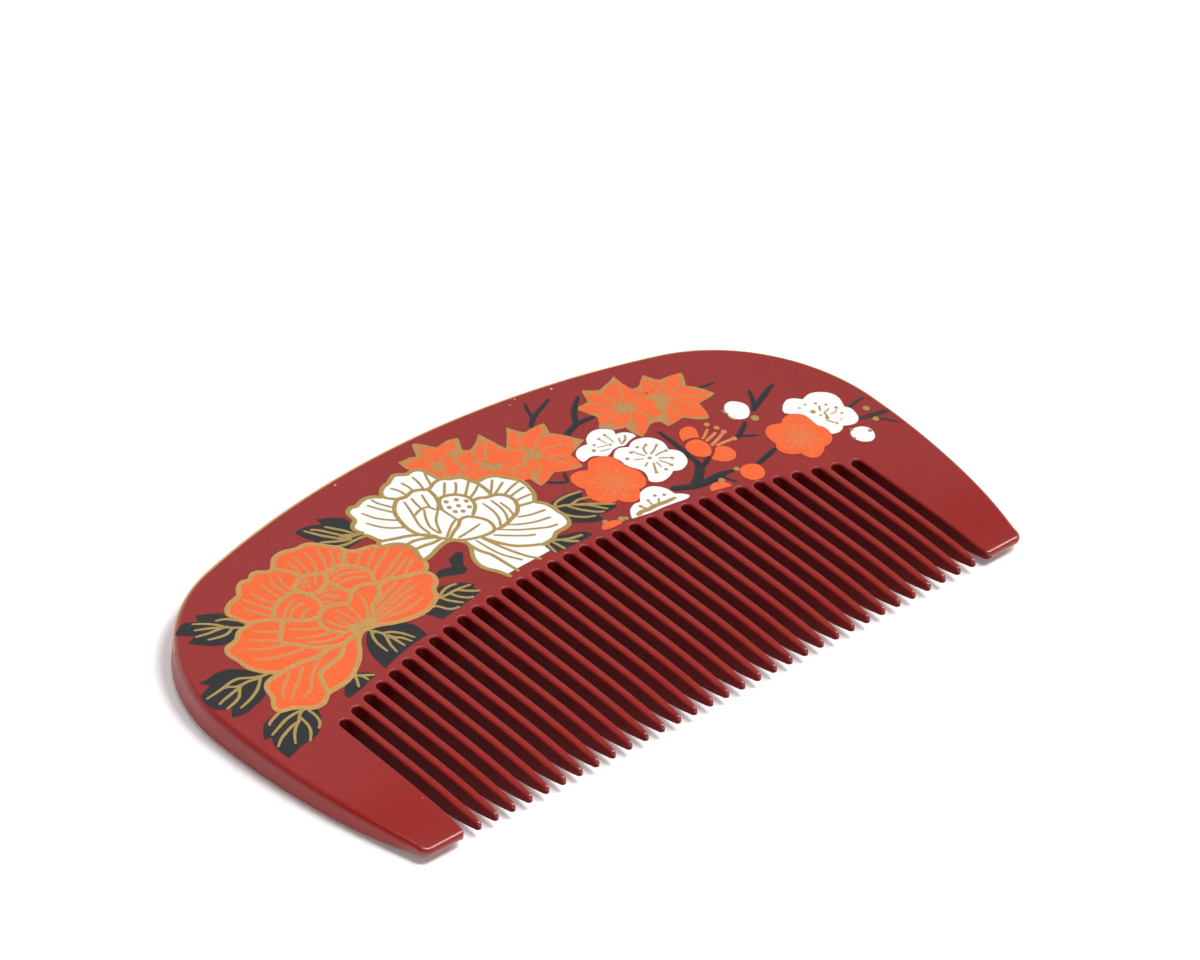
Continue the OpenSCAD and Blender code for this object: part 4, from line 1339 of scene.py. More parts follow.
# %% Gold lines of the white peony
white_rim_width = 0.55
rim_to_the_left = [
    (-7.9, 28.2), (-8.5, 29.6), (-9.1, 30.5), (-9.4, 31.4), (-9.3, 32.3), (-8.9, 33.2), (-8.3, 34),
    (-7.95, 34.7), (-7.95, 35.4), (-8.3, 36), (-9, 36.6), (-10, 36.7), (-11.4, 36.35), (-12.7, 35.9),
    (-13.8, 35.8), (-13.9, 36.5), (-13.5, 37.5), (-13.5, 38.3), (-13.9, 39.1), (-14.9, 39.8), (-16.2, 40.3),
    (-15.8, 41.3), (-16.2, 42.6),
]
rim_over_the_top = [
    (-16.3, 43.2), (-16.7, 44.1), (-16.4, 44.8), (-15.6, 45.25), (-15.45, 45.9), (-15.4, 46.6), (-15, 47.1),
    (-14.3, 47.3), (-13.7, 47.15), (-12.9, 47.45), (-12, 47.6), (-11.2, 47.4), (-10.6, 47), (-10.15, 46.7),
    (-9.9, 47.3), (-9.3, 47.8), (-8.6, 48.1), (-8, 48.2), (-7.6, 48.4), (-6.9, 48.8), (-6.4, 48.85),
    (-5.8, 48.55), (-5.2, 48.2), (-4.4, 48.35), (-3.8, 48.2), (-3.3, 47.8), (-3.1, 47.2), (-2.95, 46.5),
    (-2.75, 45.5), (-2.2, 45.2), (-1.7, 44.8), (-1.1, 44.6), (-0.5, 44.3), (-0.15, 43.7), (0.2, 42.7),
]
rim_to_the_right = [
    (0.2, 42.65), (0.8, 42.65), (1.6, 42.7), (2.4, 42.5), (3.1, 42.1), (3.7, 41.3), (4.3, 40.6),
    (4.7, 39.9), (4.75, 39), (4.6, 38.2), (4.3, 37.3), (3.8, 36.7), (3.45, 36.2), (3.8, 35.8), (4.2, 35.2),
    (4.4, 34.4), (4.4, 33.4), (4.55, 32.6), (4.4, 31.9), (4.1, 31.3), (3.5, 30.95), (2.6, 30.85),
    (1.6, 30.8), (0.7, 30.25), (-0.2, 30.1), (-1.1, 30.1),
]
white_rims = [rim_to_the_left, rim_over_the_top, rim_to_the_right]
for line in white_rims:
    add_stroke(white_lines, line, white_rim_width, white_level, start=1, end=1)
print("points of the outer lines:", [len(line) for line in white_rims])

# %% Gold lines between the white petals
# Width of a line as charted, and the line. The photograph's soft focus hides a part of each width.
soft_focus = 1.15
white_edges = [
    (0.42,
     [(-16, 40.9), (-15.4, 40.85), (-14.15, 40.4), (-12.8, 40), (-11.65, 39.5), (-10.5, 38.7), (-9.9, 38)]),
    (0.4, [(-13.6, 38.85), (-12.4, 38.85), (-11.3, 38.5), (-10, 37.9)]),
    (0.4, [(-13.5, 37.65), (-12.2, 37.6), (-11.1, 37.4), (-9.8, 37.4)]),
    (0.46,
     [(-8.1, 45.25), (-8.9, 45.45), (-9.7, 45.1), (-10.5, 44.4), (-11.1, 43.5), (-11.45, 42.3),
      (-11.65, 41.2), (-11.6, 40.3), (-11.3, 39.4), (-10.6, 38.6), (-9.9, 37.7), (-9.1, 36.85)]),
    (0.42,
     [(-10.1, 46.7), (-9.9, 46.25), (-9.35, 45.7), (-8.95, 45.4), (-8, 45.2), (-7.2, 45.5), (-6.5, 45.5),
      (-5.7, 45.2), (-5.1, 44.8), (-4.5, 44.95), (-3.7, 45.3), (-2.8, 45.4)]),
    (0.44, [(-5, 44.9), (-5.1, 44.2), (-5.2, 43.5), (-5.7, 42.3), (-6.5, 41.5)]),
    (0.42,
     [(-5.9, 42), (-5.3, 42.6), (-4.9, 42.85), (-4.15, 42.8), (-3.2, 42.4), (-2.5, 41.7), (-2.2, 40.9),
      (-2.4, 40), (-2.9, 39.3), (-3.9, 38.55)]),
    (0.3, [(-5.6, 42.2), (-5.95, 41.6), (-6.2, 41), (-6.1, 39.8), (-6, 38.8)]),
    (0.44, [(0.3, 42.6), (0.4, 41.5), (0.3, 40.4), (0.1, 39.8)]),
    (0.46,
     [(-2.3, 40.4), (-1.3, 40.35), (-0.6, 39.95), (0.3, 39.8), (1, 39.5), (1.6, 38.75), (1.7, 37.7),
      (1.2, 36.7), (0.3, 35.9), (-0.9, 35.5), (-2, 35.15), (-3.4, 35)]),
    (0.34, [(1.2, 36.75), (2.4, 36.5), (3.4, 36.3)]),
    (0.4,
     [(-9, 36.8), (-7.8, 37.5), (-6.65, 38), (-6, 38.5), (-5.5, 38.75), (-4.7, 38.65), (-3.9, 37.9),
      (-3.3, 36.9), (-3.3, 36), (-3.7, 35.2), (-4.5, 35), (-5.7, 35.1), (-6.85, 35.4), (-8, 35.9),
      (-8.9, 36.6)]),
    (0.3, [(-9.35, 42.2), (-8.6, 42.5), (-7.8, 42.6), (-7.1, 42.4), (-6.85, 41.7), (-6.3, 41.3)]),
    (0.42, [(-7.95, 35.2), (-7.7, 33.5), (-7.05, 32.1), (-6.85, 30.8), (-6.65, 29.3), (-6.5, 28.4)]),
    (0.36, [(-5.9, 34.8), (-5.4, 33.1), (-4.7, 31.15), (-3.8, 29.4), (-3, 28.45)]),
    (0.42, [(-5.8, 34.8), (-4.9, 33.1), (-3.8, 31.7), (-2.2, 30.7), (-1.1, 30.2)]),
]
for width, line in white_edges:
    add_stroke(white_lines, line, soft_focus * width, white_level, start=0.9, end=0.9)
print("lines between the white petals:", len(white_edges))

# %% Veins and heart of the white peony
white_vein_width, heart_dot_r = 0.32, 0.3
white_veins = [
    [(-14.8, 44.2), (-14.15, 43.1), (-13.2, 42.1), (-11.7, 41.2)],
    [(-14.05, 45.8), (-13.4, 44.4), (-12.4, 43.3), (-11.4, 42.5)],
    [(-12.6, 46.5), (-12, 45.4), (-11.1, 44.1)], [(-11.55, 47), (-11.4, 46.2), (-10.6, 44.8)],
    [(-8.4, 47.3), (-7.9, 46.5), (-7.8, 45.4)], [(-6.75, 47.3), (-6.55, 46.3), (-6.65, 45.5)],
    [(-5, 47.4), (-5.1, 46.3), (-5.4, 45.2)], [(-3.3, 47.3), (-3.8, 46.3), (-4.25, 45.1)],
    [(-1.65, 43.9), (-2.3, 43.1), (-3, 42.5)], [(-2.7, 44.6), (-3.4, 43.85), (-4.3, 42.9)],
    [(-0.1, 43.4), (-1.3, 42.4), (-2.4, 41.5)], [(0.1, 42.1), (-0.9, 41.5), (-2.2, 40.9)],
    [(2.1, 41.9), (1.2, 41), (0.4, 40.3)], [(2.8, 40.9), (1.8, 40.4), (0.5, 39.8)],
    [(4.4, 40), (3, 39.7), (1.3, 39.1)], [(4.2, 38.9), (3, 38.75), (1.7, 38.5)],
    [(4, 37.5), (2.9, 37.6), (1.7, 37.6)], [(-1.65, 39.3), (-1.6, 37.7), (-2, 36.3), (-2.7, 35.3)],
    [(-0.5, 39.2), (-0.5, 37.7), (-0.8, 36.5), (-1.4, 35.5)], [(0.1, 38.3), (0.1, 36.9), (-0.2, 35.9)],
    [(-4.5, 36.85), (-6.1, 36.6), (-8, 36.4)],
    [(-8.8, 44.6), (-9.25, 43.1), (-9.7, 41.9), (-10.2, 40.4), (-10.2, 38.9)],
    [(-7.7, 44.6), (-7.9, 43.65), (-8, 42.7)], [(-6.3, 44.4), (-6.65, 43.5), (-7, 42.4)],
    [(-7.9, 42.3), (-8.8, 41), (-9.4, 39.6), (-9.3, 38.3)],
    [(-6.75, 41.3), (-8, 40.2), (-8.8, 38.9), (-9.1, 38.2)],
    [(-6.1, 39), (-7.2, 38.5), (-8.4, 37.7), (-9, 37.3)],
    [(-6.75, 34.9), (-6.55, 33.3), (-6.1, 31.5), (-4.9, 29.5)],
    [(-4.45, 34.5), (-3.2, 33.5), (-1.65, 32.4), (-0.6, 31.9)],
    [(-3.2, 34.8), (-1.65, 33.65), (0.1, 32.7), (1.6, 32), (2.7, 31.8)],
    [(-2, 35), (-0.7, 34.2), (1, 33.55), (2.9, 33.2)], [(0, 35.3), (1.4, 34.8), (3.3, 34.5)],
]
for line in white_veins:
    add_stroke(white_lines, line, white_vein_width, white_level, start=0.7, end=1.1)
heart_dots = [
    (-4.87, 41.96), (-3.67, 41.58), (-5.27, 41), (-4.2, 40.63), (-2.9, 40.77), (-5.2, 40.06),
    (-4.42, 39.62), (-3.3, 39.8),
]
for x, y in heart_dots:
    add_dot(white_lines, x, y, heart_dot_r, white_level)
paint_piece("white_peony_gold", white_lines, old_gold_paint)

# %% [markdown]
# ## Plum blossoms and buds
# The plum blossoms have five round petals. The white ones carry thin stamens with a dot at the end, and on
# the orange ones the stamens are so faint that they almost sink into the paint. These come in rings, so a
# loop draws them.

# %% Orange blossoms and buds
plum_level = 0.04
orange_plum, white_plum, plum_lines = new_store(), new_store(), new_store()
orange_flowers = [
    [[(9.75, 34.7), (9.4, 35.3), (9.35, 36), (9.4, 36.6), (9.9, 37.25), (10.7, 37.5), (11.7, 37.35)],
     [(12.3, 36.95), (12.8, 37.4), (13.45, 38.05), (14.25, 38.25), (15.2, 38.05), (16, 37.6), (16.4, 36.95),
      (16.5, 36)],
     [(16.45, 35), (16.85, 34.35), (17.1, 33.55), (17, 32.75), (16.7, 31.95), (16.15, 31.35), (15.5, 31.1)],
     [(14.75, 31.1), (14.5, 30.5), (13.95, 30), (13.1, 29.75), (12.3, 30), (11.75, 30.5)],
     [(11.5, 31.1), (10.7, 31.05), (9.9, 31.45), (9.35, 32.25), (9.1, 33.05), (9.25, 33.85)]],
    [[(33.8, 28.1), (33.8, 28.85), (33.95, 29.65), (34.2, 30.2), (34.9, 30.8), (35.75, 30.95),
      (36.6, 30.7)],
     [(37.15, 30.5), (37.7, 30.9), (38.55, 31.15), (39.35, 31.05), (40.05, 30.55), (40.45, 29.95),
      (40.45, 29.1), (40.35, 28.3)],
     [(40.35, 27.7), (40.7, 27.15), (40.7, 26.35), (40.35, 25.5), (39.8, 24.9), (38.95, 24.5)],
     [(38.1, 24.5), (37.7, 24.1), (36.85, 23.7), (36.05, 23.55), (35.35, 23.95), (35, 24.65)],
     [(35, 25.15), (34.2, 25.5), (33.55, 26.05), (33.25, 26.75), (33.3, 27.45)]],
    [[(25.1, 34.6), (25.5, 35.4), (26.05, 36.1), (26.9, 36.4), (27.6, 36.3), (28, 35.75), (27.9, 35.15),
      (27.5, 34.45)], [(27.15, 33.95), (26.9, 34.3), (25.95, 34.62)]],
    [[(24.35, 32.75), (24.6, 33.6), (25.1, 34), (25.95, 34.2), (26.8, 33.9), (27.15, 33.25), (27.2, 32.5),
      (26.9, 31.7), (26.3, 31.1), (25.6, 30.95), (24.9, 31.35), (24.45, 31.95)]],
    [[(26.05, 29.65), (25.65, 30.3), (26.2, 30.65), (26.8, 31), (27.4, 31.55), (28.1, 31.5), (28.7, 31),
      (28.9, 30.25), (28.75, 29.55), (28.2, 29), (27.5, 28.85), (26.7, 29.05)]],
    [[(26.35, 25.95), (26.6, 26.7), (27.2, 27.2), (27.95, 27.35), (28.7, 27.15), (29.3, 26.6), (29.4, 25.9),
      (29.05, 25.1), (28.5, 24.65), (27.8, 24.5), (26.95, 24.75), (26.5, 25.3)]],
    [[(21.4, 26.05), (21.8, 26.7), (22.6, 27), (23.5, 26.75), (24.05, 26.1)],
     [(24.1, 25.45), (23, 25.7), (22.1, 25.9)]],
    [[(6.25, 28.15), (6.7, 28.7), (7.3, 28.9), (8.1, 28.8), (8.8, 28.55)],
     [(9.1, 28), (9, 27.8), (8.1, 27.8), (7.15, 27.82)]],
]
for runs in orange_flowers:
    add_film(orange_plum, border(*runs), plum_level)
paint_piece("orange_plum_blossoms", orange_plum, orange_paint)

# %% White blossoms and buds
white_flowers = [
    [[(16.45, 37), (16.85, 37.4), (17.5, 37.8), (18.1, 37.9), (18.8, 37.65)],
     [(19.25, 37.4), (19.9, 37.8), (20.7, 37.95), (21.7, 37.75), (22.5, 37.25), (22.95, 36.6),
      (23.15, 35.8), (22.95, 35)],
     [(22.7, 34.45), (23.15, 34.1), (23.55, 33.55), (23.6, 32.9), (23.35, 32.1), (22.8, 31.45), (22, 31.05),
      (21.2, 30.95)],
     [(20.4, 31.3), (19.6, 30.9), (18.6, 30.65), (17.8, 30.7), (17.1, 31.1), (16.85, 31.6), (17.25, 32.25),
      (17.5, 33.05), (17.3, 33.85), (16.85, 34.6)], [(16.6, 35.3), (16.7, 36.1)]],
    [[(13, 38.4), (12.9, 39.1), (13.2, 39.85), (13.9, 40.4), (14.85, 40.6)],
     [(15.65, 40.5), (16.1, 41.2), (16.5, 41.5), (17.2, 41.85), (18, 41.95), (18.8, 41.75), (19.5, 41.25),
      (19.9, 40.6)], [(19.6, 40), (20.25, 39.9), (20.9, 39.55), (21.35, 38.95)],
     [(21.35, 38.4), (20.6, 38.35), (19.8, 38.15), (19.1, 37.9)],
     [(18.4, 38.15), (17.4, 38.1), (16.6, 37.75), (16, 37.65)],
     [(15.5, 37.95), (14.9, 38.45), (14.2, 38.6), (13.6, 38.45)]],
    [[(10.45, 27.7), (10.8, 28.3), (11.5, 29.05), (12.5, 29.45)],
     [(13.3, 29.35), (13.6, 29.7), (14.4, 30.5), (15.4, 30.8), (16.35, 30.65), (17.1, 30), (17.5, 29.2)],
     [(17.6, 28.15), (18.15, 27.8), (18.6, 27.35)],
     [(18.8, 26.95), (18.3, 26.75), (17.5, 26.8), (16.5, 26.95), (14.9, 27.15), (13, 27.25), (11.6, 27.5)]],
    [[(38.8, 31.55), (38.95, 32.15), (39.9, 32.95), (40.9, 33.3), (41.7, 33)],
     [(42.4, 32.3), (43.1, 32.5), (43.95, 32.6), (44.9, 32.25), (45.75, 31.6), (46.15, 30.8),
      (46.15, 29.95), (45.8, 29.1)],
     [(45.5, 28.5), (45.9, 27.85), (45.75, 26.9), (45.35, 26.05), (44.5, 25.55), (43.55, 25.65)],
     [(42.75, 26.05), (42.3, 25.65), (41.45, 25.45)], [(40.6, 25.65), (39.9, 27), (39.6, 29), (39.3, 31)]],
    [[(32.97, 35.1), (33.25, 35.9), (33.8, 36.6), (34.65, 36.9), (35.3, 36.7), (35.95, 36), (36.15, 35.2),
      (35.75, 34.4), (35.05, 33.75), (34.35, 33.55), (33.5, 33.85), (33.1, 34.4)]],
    [[(42.2, 24.1), (42.6, 24.65), (43.1, 24.85), (43.65, 24.95), (44.5, 24.65), (45, 23.95), (44.9, 23.15),
      (44.35, 22.4), (43.5, 22.1), (42.7, 22.45), (42.2, 23.15)]],
]
white_plum_levels = (0.045, 0.045, 0.052, 0.03, 0.04, 0.04)
for runs, level in zip(white_flowers, white_plum_levels):
    add_film(white_plum, border(*runs), level)
paint_piece("white_plum_blossoms", white_plum, white_paint)

# %% Stamens, sepals and dots of the plum blossoms
# How far the stamens and the dots stand above the orange petals
stamen_rise, dot_rise = 0.013, 0.002
# Width and line of each stamen, then place and radius of each dot
stamens = [
    (0.2, [(19, 36.5), (19.2, 35.9), (19.6, 35.2)]),
    (0.24, [(21.1, 36.55), (20.5, 36.3), (20.2, 35.8), (20.05, 35.3)]),
    (0.24, [(22.1, 35.8), (21.2, 35.3), (20.45, 35)]),
    (0.22, [(22.2, 34.45), (21.35, 34.55), (20.7, 34.45)]),
    (0.2, [(20.7, 33.9), (21.5, 33.45), (21.95, 33.05)]),
    (0.2, [(20.45, 33.55), (20.75, 32.9), (21, 32.3)]), (0.18, [(19.9, 33.55), (19.85, 33), (19.8, 32.6)]),
    (0.26, [(19.5, 33.6), (18.95, 32.75), (18.6, 32.25)]),
    (0.2, [(19, 34.05), (18.6, 33.85), (18.3, 33.7)]), (0.16, [(18.1, 35.3), (18.6, 35.05), (19.1, 34.85)]),
    (0.14, [(16, 38.7), (16.6, 38.5), (17.2, 38.4)]), (0.14, [(16.2, 39.4), (16.8, 39.2), (17.5, 39.05)]),
    (0.14, [(17.4, 40.2), (17.5, 39.8), (17.6, 39.3)]), (0.16, [(18.4, 40.3), (18.45, 39.7), (18.4, 39.1)]),
    (0.2, [(19.45, 39.25), (19.2, 38.9), (19, 38.6)]), (0.28, [(20.35, 39.2), (19.8, 38.6), (18.95, 38.3)]),
    (0.6, [(11.5, 27.8), (12.3, 27.95), (13, 27.8), (14.2, 27.85), (15.7, 27.65), (17, 27.6)]),
    (0.34, [(12.75, 28.7), (12.9, 28.3), (13.1, 27.9)]), (0.22, [(14.2, 28.9), (14.1, 28.4), (14, 27.9)]),
    (0.26, [(15.45, 28.55), (15.1, 28.2), (14.8, 27.85)]),
    (0.24, [(42.6, 29.6), (42.8, 29.9), (43.1, 30.25)]),
    (0.16, [(42.8, 29.05), (43.3, 29.15), (43.7, 29.3)]),
    (0.14, [(43.1, 28.4), (43.7, 28.35), (44.3, 28.6)]), (0.18, [(41.95, 27.9), (42.1, 27.4), (42.35, 27)]),
    (0.24, [(42.3, 28.1), (42.5, 28.4), (42.7, 29)]), (0.3, [(33.05, 36.1), (33, 35.7), (33.1, 35.3)]),
    (0.26, [(32.85, 34.8), (32.9, 34.4), (33.1, 34.1)]),
]
for width, line in stamens:
    add_stroke(plum_lines, line, width, plum_level + stamen_rise, start=1, end=0.7)
gold_dots = [
    (18.7, 36.5, 0.22), (20, 36.8, 0.22), (21.15, 36.55, 0.2), (22.15, 35.85, 0.18), (22.35, 34.45, 0.2),
    (21.95, 33.05, 0.24), (21, 32.2, 0.24), (19.9, 31.95, 0.24), (18.6, 32.2, 0.24), (17.55, 35.9, 0.25),
    (19.8, 34.55, 0.26), (16.15, 39.9, 0.2), (17.4, 40.45, 0.2), (18.45, 40.6, 0.22), (15.4, 39.2, 0.26),
    (17.75, 38.95, 0.2), (12.75, 28.75, 0.24), (14.2, 29, 0.22), (15.45, 29.2, 0.24), (16.45, 28.7, 0.24),
    (40.9, 31.3, 0.15), (41.9, 31.4, 0.15), (41.7, 29.9, 0.32), (43.1, 30.85, 0.18), (43.95, 30, 0.18),
    (44.55, 28.9, 0.22), (44.35, 27.8, 0.16), (42.5, 26.75, 0.18), (43.5, 27, 0.12), (41.95, 28.9, 0.16),
    (42.3, 28.15, 0.26), (35.2, 32.95, 0.5), (26.7, 27.35, 0.36), (23.8, 26.85, 0.4), (42.15, 23.6, 0.22),
    (44.7, 23.55, 0.26), (43, 24.9, 0.22), (47.4, 26.8, 0.42), (46.9, 24.75, 0.4), (7.5, 29, 0.35),
    (9.4, 28.35, 0.42), (9.95, 28.1, 0.25),
]
for x, y, radius in gold_dots:
    add_dot(plum_lines, x, y, radius, plum_level + dot_rise)
paint_piece("gold_plum_stamens", plum_lines, old_gold_paint)

# %% Faint gold
faint_lines = new_store()
# Rays of a blossom: their number, the width of one, where it starts, and its mean and changing length
rays, ray_width, ray_start, ray_length, ray_change = 13, 0.22, 0.35, 2.2, 0.4
# The first ray is turned by this share of the step from one ray to the next
ray_turn = 0.3
# Distance and size of the dots between the rays
inner_dot_at, inner_dot_r = 1.25, 0.13
# Rays and dots begin this far below the top of the orange paint
ray_sink, dot_sink = 0.006, 0.01
blossom_middles = [(13.2, 33.7), (37.1, 27.5)]


def from_middle(x, y, angle, distance):
    return (x + distance * math.cos(angle), y + distance * math.sin(angle))


for x, y in blossom_middles:
    for i in range(rays):
        angle = 2 * math.pi * (i + ray_turn) / rays
        near = from_middle(x, y, angle, ray_start)
        tip = from_middle(x, y, angle, ray_length + ray_change * math.sin(3 * i))
        middle = ((near[0] + tip[0]) / 2, (near[1] + tip[1]) / 2)
        add_stroke(faint_lines, [near, middle, tip], ray_width, plum_level - ray_sink, start=1, end=0.8)
        add_dot(faint_lines, *tip, ray_width, plum_level - dot_sink)
        between = from_middle(x, y, angle + math.pi / rays, inner_dot_at)
        add_dot(faint_lines, *between, inner_dot_r, plum_level - dot_sink)
side_stamens = [
    (0.35, [(27.5, 33.7), (28.3, 34.1), (29.1, 34.6)]), (0.4, [(27.6, 33.15), (28.5, 33.35), (29.4, 33.6)]),
    (0.4, [(27.5, 32.2), (29.4, 32.8), (30.4, 33.2)]), (0.4, [(28, 31.8), (29.3, 31.75), (30.6, 31.6)]),
]
side_dots = [(29.7, 35.3), (30.2, 34.2), (30.4, 33.2), (30.5, 31.6)]
side_level, side_dot_r = 0.012, 0.35
for width, line in side_stamens:
    add_stroke(faint_lines, line, width, side_level, start=1, end=0.8)
for x, y in side_dots:
    add_dot(faint_lines, x, y, side_dot_r, side_level)
paint_piece("faint_gold_stamens", faint_lines, faint_gold_paint)

# %% [markdown]
# ## Gold on the rim, a painted rim reflection, and wear
# A thin line in gold paint runs over the rounded edge of the back. It is partly a gold line and partly a
# painted reflection of the bright tent on the rounded edge. It keeps to where that edge meets its outline as
# seen from the camera, so towards the left shoulder it slips down the edge, gets thinner and ends, and on the
# right it runs on to the side. A few pale chips in the lacquer show where the comb was knocked.

# %% A place on the rounded edge
def over_rim(x, y, angle, turn, lift):
    """A place on the rim's rounding, turn radians from the face towards the wall, and its direction."""
    inset, drop = rim_r * (1 - math.sin(turn)), rim_r * (1 - math.cos(turn))
    out = np.array([math.cos(angle), math.sin(angle), 0])
    d = math.sin(turn) * out + math.cos(turn) * face_up
    return np.array(on_face(x - out[0] * inset, y - out[1] * inset, -drop)) + lift * d, d

# %% Gold line over the rounded edge, with a painted reflection
# How far down the edge the line starts, how broad it is, and how far up the left side it slips, in degrees.
# The slip is painted reflection: it keeps the line where the rounded edge meets its outline in view.
gold_start, gold_broad, reflection_slip = 11, 42, 45
# The slip begins at this angle of the outline, grows over so many degrees, and narrows the line by a share
slip_from, slip_over, slip_narrows = 100, 45, 0.45
gold_steps, gold_lift = 4, 0.01
# The line goes down to this y on the right and on the left
gold_to_right, gold_to_left = 25.0, 40.0


def add_rim_gold_and_reflection(store, places):
    """Adds the gold line with its painted reflection over the rim at these places of the outline."""
    points, directions, faces = store
    first = len(points)
    for x, y, angle in places:
        # Painted reflection: towards the left shoulder the line slides down the rounding and narrows, where
        # the edge's outline in view lies lower
        slip = min(max((math.degrees(angle) - slip_from) / slip_over, 0), 1)
        start = math.radians(gold_start + reflection_slip * slip ** 2 * (3 - 2 * slip))
        broad = math.radians(gold_broad) * (1 - slip_narrows * slip)
        turns = [start + broad * k / gold_steps for k in range(gold_steps + 1)]
        lifts = [film_root] + [gold_lift] * len(turns) + [film_root]
        for turn, lift in zip([turns[0]] + turns + [turns[-1]], lifts):
            point, direction = over_rim(x, y, angle, turn, lift)
            points.append(tuple(point))
            directions.append(direction)
    add_ridge_faces(faces, first, len(places), gold_steps + 3)


rim_gold_and_reflection = new_store()
rim_line_places = [place for place in right_half if place[1] > gold_to_right]
rim_line_places += [place for place in left_half if place[1] > gold_to_left]
add_rim_gold_and_reflection(rim_gold_and_reflection, rim_line_places)
paint_piece("gold_rim_line_and_reflection", rim_gold_and_reflection, gold_paint)

# %% Pale chips
chips = new_store()
chip_level = -0.012
chip_places = [
    (-13.1, 51.4, 0.14), (19.4, 50.5, 0.16), (14.5, 51.5, 0.12), (13.3, 51, 0.1), (-40.75, 6.4, 0.06),
]
for x, y, radius in chip_places:
    add_dot(chips, x, y, radius, chip_level)
chip_paint = make_paint("chipped_lacquer", (0.55, 0.25, 0.22), (0.8, 0.5, 0.45), 0.6)
paint_piece("chipped_specks", chips, chip_paint)

# %% [markdown]
# ## Table, light and camera
# The photograph was taken on a white table in a white light tent. The tent is bright near the table and
# darker above, which the satin lacquer shows as a soft fade from its back to its teeth. A soft lamp on the
# right gives the shadow, and the walls of the slots that face left stay dark. A narrow strip lamp beside it
# draws the light lines on the edges, and a weak spot from above lights the left guard. From below, the table
# lets the view through, so that the underside can be looked at. The camera looks down from the left through
# a long lens, and is rolled a little.

# %% White table
# Half the width of the table, and its height. It lies a little under the comb, so that the two don't flicker.
table_reach, table_z = 2.0, -0.00002


def make_table():
    corners = [(x * table_reach, y * table_reach, table_z) for x, y in ((-1, -1), (1, -1), (1, 1), (-1, 1))]
    mesh = bpy.data.meshes.new("white_table")
    mesh.from_pydata(corners, [], [(0, 1, 2, 3)])
    table = bpy.data.objects.new("white_table", mesh)
    bpy.context.scene.collection.objects.link(table)
    paper, tree, shader = new_material("white_paper")
    shader.inputs["Base Color"].default_value = (0.96, 0.96, 0.96, 1)
    shader.inputs["Emission Color"].default_value = (1, 1, 1, 1)
    shader.inputs["Emission Strength"].default_value = 0.1
    shader.inputs["Roughness"].default_value = 0.9
    shader.inputs["Specular IOR Level"].default_value = 0.1
    # The paper is clear where its back is seen
    side = node(tree, "ShaderNodeNewGeometry", (-500, 0))
    from_above = node(tree, "ShaderNodeMath", (-250, 0), {0: 1}, operation="SUBTRACT")
    tree.links.new(side.outputs["Backfacing"], from_above.inputs[1])
    tree.links.new(from_above.outputs[0], shader.inputs["Alpha"])
    mesh.materials.append(paper)
    return table


print("table at z =", make_table().data.vertices[0].co.z)

# %% Parts of the sky
sky = bpy.data.worlds.new("light_tent")
bpy.context.scene.world = sky
sky.use_nodes = True
tent = sky.node_tree
background = tent.nodes["Background"].inputs
background["Color"].default_value = (1, 1, 1, 1)
look = node(tent, "ShaderNodeTexCoord", (-1100, 0)).outputs["Generated"]


def sky_towards(direction, at):
    """How far a look into the sky goes in this direction, from -1 to 1."""
    part = node(tent, "ShaderNodeVectorMath", at, {1: direction}, operation="DOT_PRODUCT")
    tent.links.new(look, part.inputs[0])
    return part.outputs["Value"]


def sky_fade(source, start, end, first, last, at):
    """A soft change from first to last, while source goes from start to end."""
    values = {"From Min": start, "From Max": end, "To Min": first, "To Max": last}
    fade = node(tent, "ShaderNodeMapRange", at, values, interpolation_type="SMOOTHSTEP")
    tent.links.new(source, fade.inputs["Value"])
    return fade.outputs["Result"]


def sky_math(operation, at, *sources):
    """A sum or a product of parts of the sky."""
    made = node(tent, "ShaderNodeMath", at, operation=operation)
    for source, socket in zip(sources, made.inputs):
        tent.links.new(source, socket)
    return made.outputs[0]


print("world:", sky.name)

# %% Brightness of the sky
left_angle, far_angle = math.radians(42), math.radians(50)
height = node(tent, "ShaderNodeSeparateXYZ", (-900, 100))
tent.links.new(look, height.inputs["Vector"])
up = height.outputs["Z"]
sideways = sky_towards((-math.sin(left_angle), math.cos(left_angle), 0), (-900, -100))
forwards = sky_towards((math.cos(far_angle), math.sin(far_angle), 0), (-900, -300))
# All round, the tent fades from the table upwards
near_table = sky_fade(up, 0.2, 0.42, 0.9, 0.18, (-650, 250))
# Its back wall is lit on the left and far side, up to a soft line
back_wall = sky_fade(up, 0.54, 0.76, 1, 0, (-650, 0))
left_part = sky_fade(sideways, -0.14, 0.14, 0.1, 1.05, (-650, -250))
far_part = sky_fade(forwards, 0, 0.45, 0, 1, (-650, -500))
high_and_left = sky_math("MULTIPLY", (-400, -100), back_wall, left_part)
lit_wall = sky_math("MULTIPLY", (-300, -300), high_and_left, far_part)
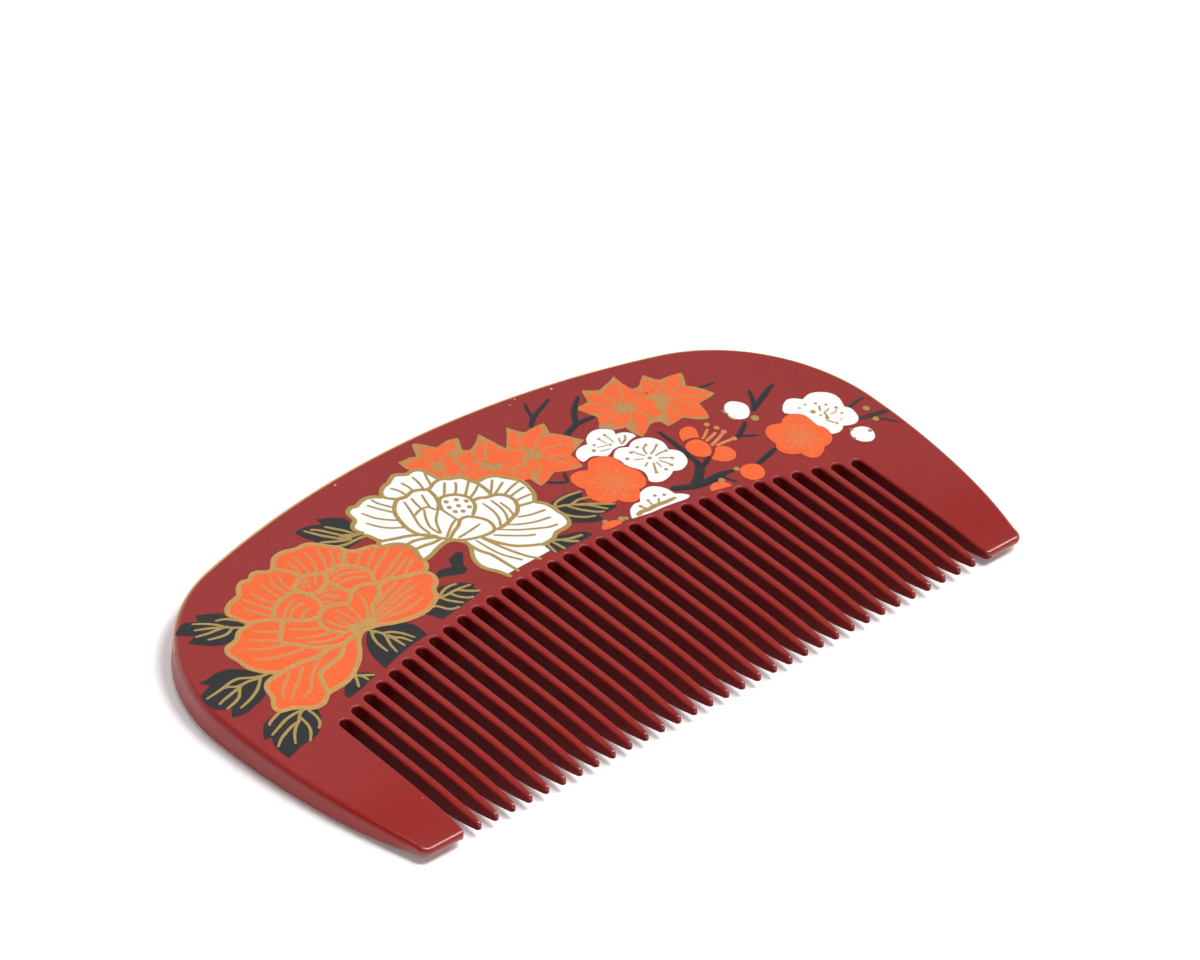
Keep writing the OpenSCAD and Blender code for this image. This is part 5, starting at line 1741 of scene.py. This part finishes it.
# The far edge of the table shines a little more
low_far = sky_fade(up, 0.2, 0.38, 0.6, 0, (-650, -750))
far_table = sky_math("MULTIPLY_ADD", (-300, -600), low_far, far_part, lit_wall)
whole_tent = sky_math("ADD", (-200, 0), near_table, far_table)
tent.links.new(whole_tent, background["Strength"])
print("nodes of the sky:", len(tent.nodes))

# %% Lamps
def hang_lamp(name, kind, watts, place, aimed=True, **shape):
    """A lamp at a place in metres. It is aimed at the middle of the comb, or else straight down."""
    lamp = bpy.data.lights.new(name, kind)
    lamp.energy = watts
    for key, value in shape.items():
        setattr(lamp, key, value)
    holder = bpy.data.objects.new(name, lamp)
    bpy.context.scene.collection.objects.link(holder)
    holder.location = place
    if aimed:
        holder.rotation_euler = (-holder.location).to_track_quat("-Z", "Y").to_euler()
    print(name, "at", place)


hang_lamp("soft_lamp", "AREA", 4.4, (0.18, -0.26, 0.84), shape="DISK", size=0.3)
hang_lamp("right_strip", "AREA", 3, (0.54, -0.2, 0.68), shape="RECTANGLE", size=0.1, size_y=0.5)
hang_lamp("left_spot", "SPOT", 10, (-0.045, -0.045, 0.9), aimed=False,
          spot_size=math.radians(13), spot_blend=1, shadow_soft_size=0.08)

# %% Camera
# Directions and place of the photograph's camera, which were worked out from the even row of teeth
look_round, look_down, camera_roll = math.radians(-47.654), math.radians(35.914), math.radians(6.566)
camera_place = Vector((-0.38347, -0.35251, 0.39167))
lens_length, sensor_width = 175.921, 36


def make_camera():
    forward = Vector((
        -math.sin(look_round) * math.cos(look_down),
        math.cos(look_round) * math.cos(look_down),
        -math.sin(look_down),
    ))
    aim = forward.to_track_quat("-Z", "Y").to_matrix().to_4x4()
    camera = bpy.data.cameras.new("camera")
    camera.sensor_width, camera.lens = sensor_width, lens_length
    camera.clip_start, camera.clip_end = 0.01, 20
    holder = bpy.data.objects.new("camera", camera)
    bpy.context.scene.collection.objects.link(holder)
    holder.matrix_world = Matrix.Translation(camera_place) @ aim @ Matrix.Rotation(camera_roll, 4, "Z")
    return holder


bpy.context.scene.camera = make_camera()
bpy.context.scene.view_settings.view_transform = "Standard"
bpy.context.scene.view_settings.look = "None"
print("distance of the camera from the comb:", round(camera_place.length, 3), "m")
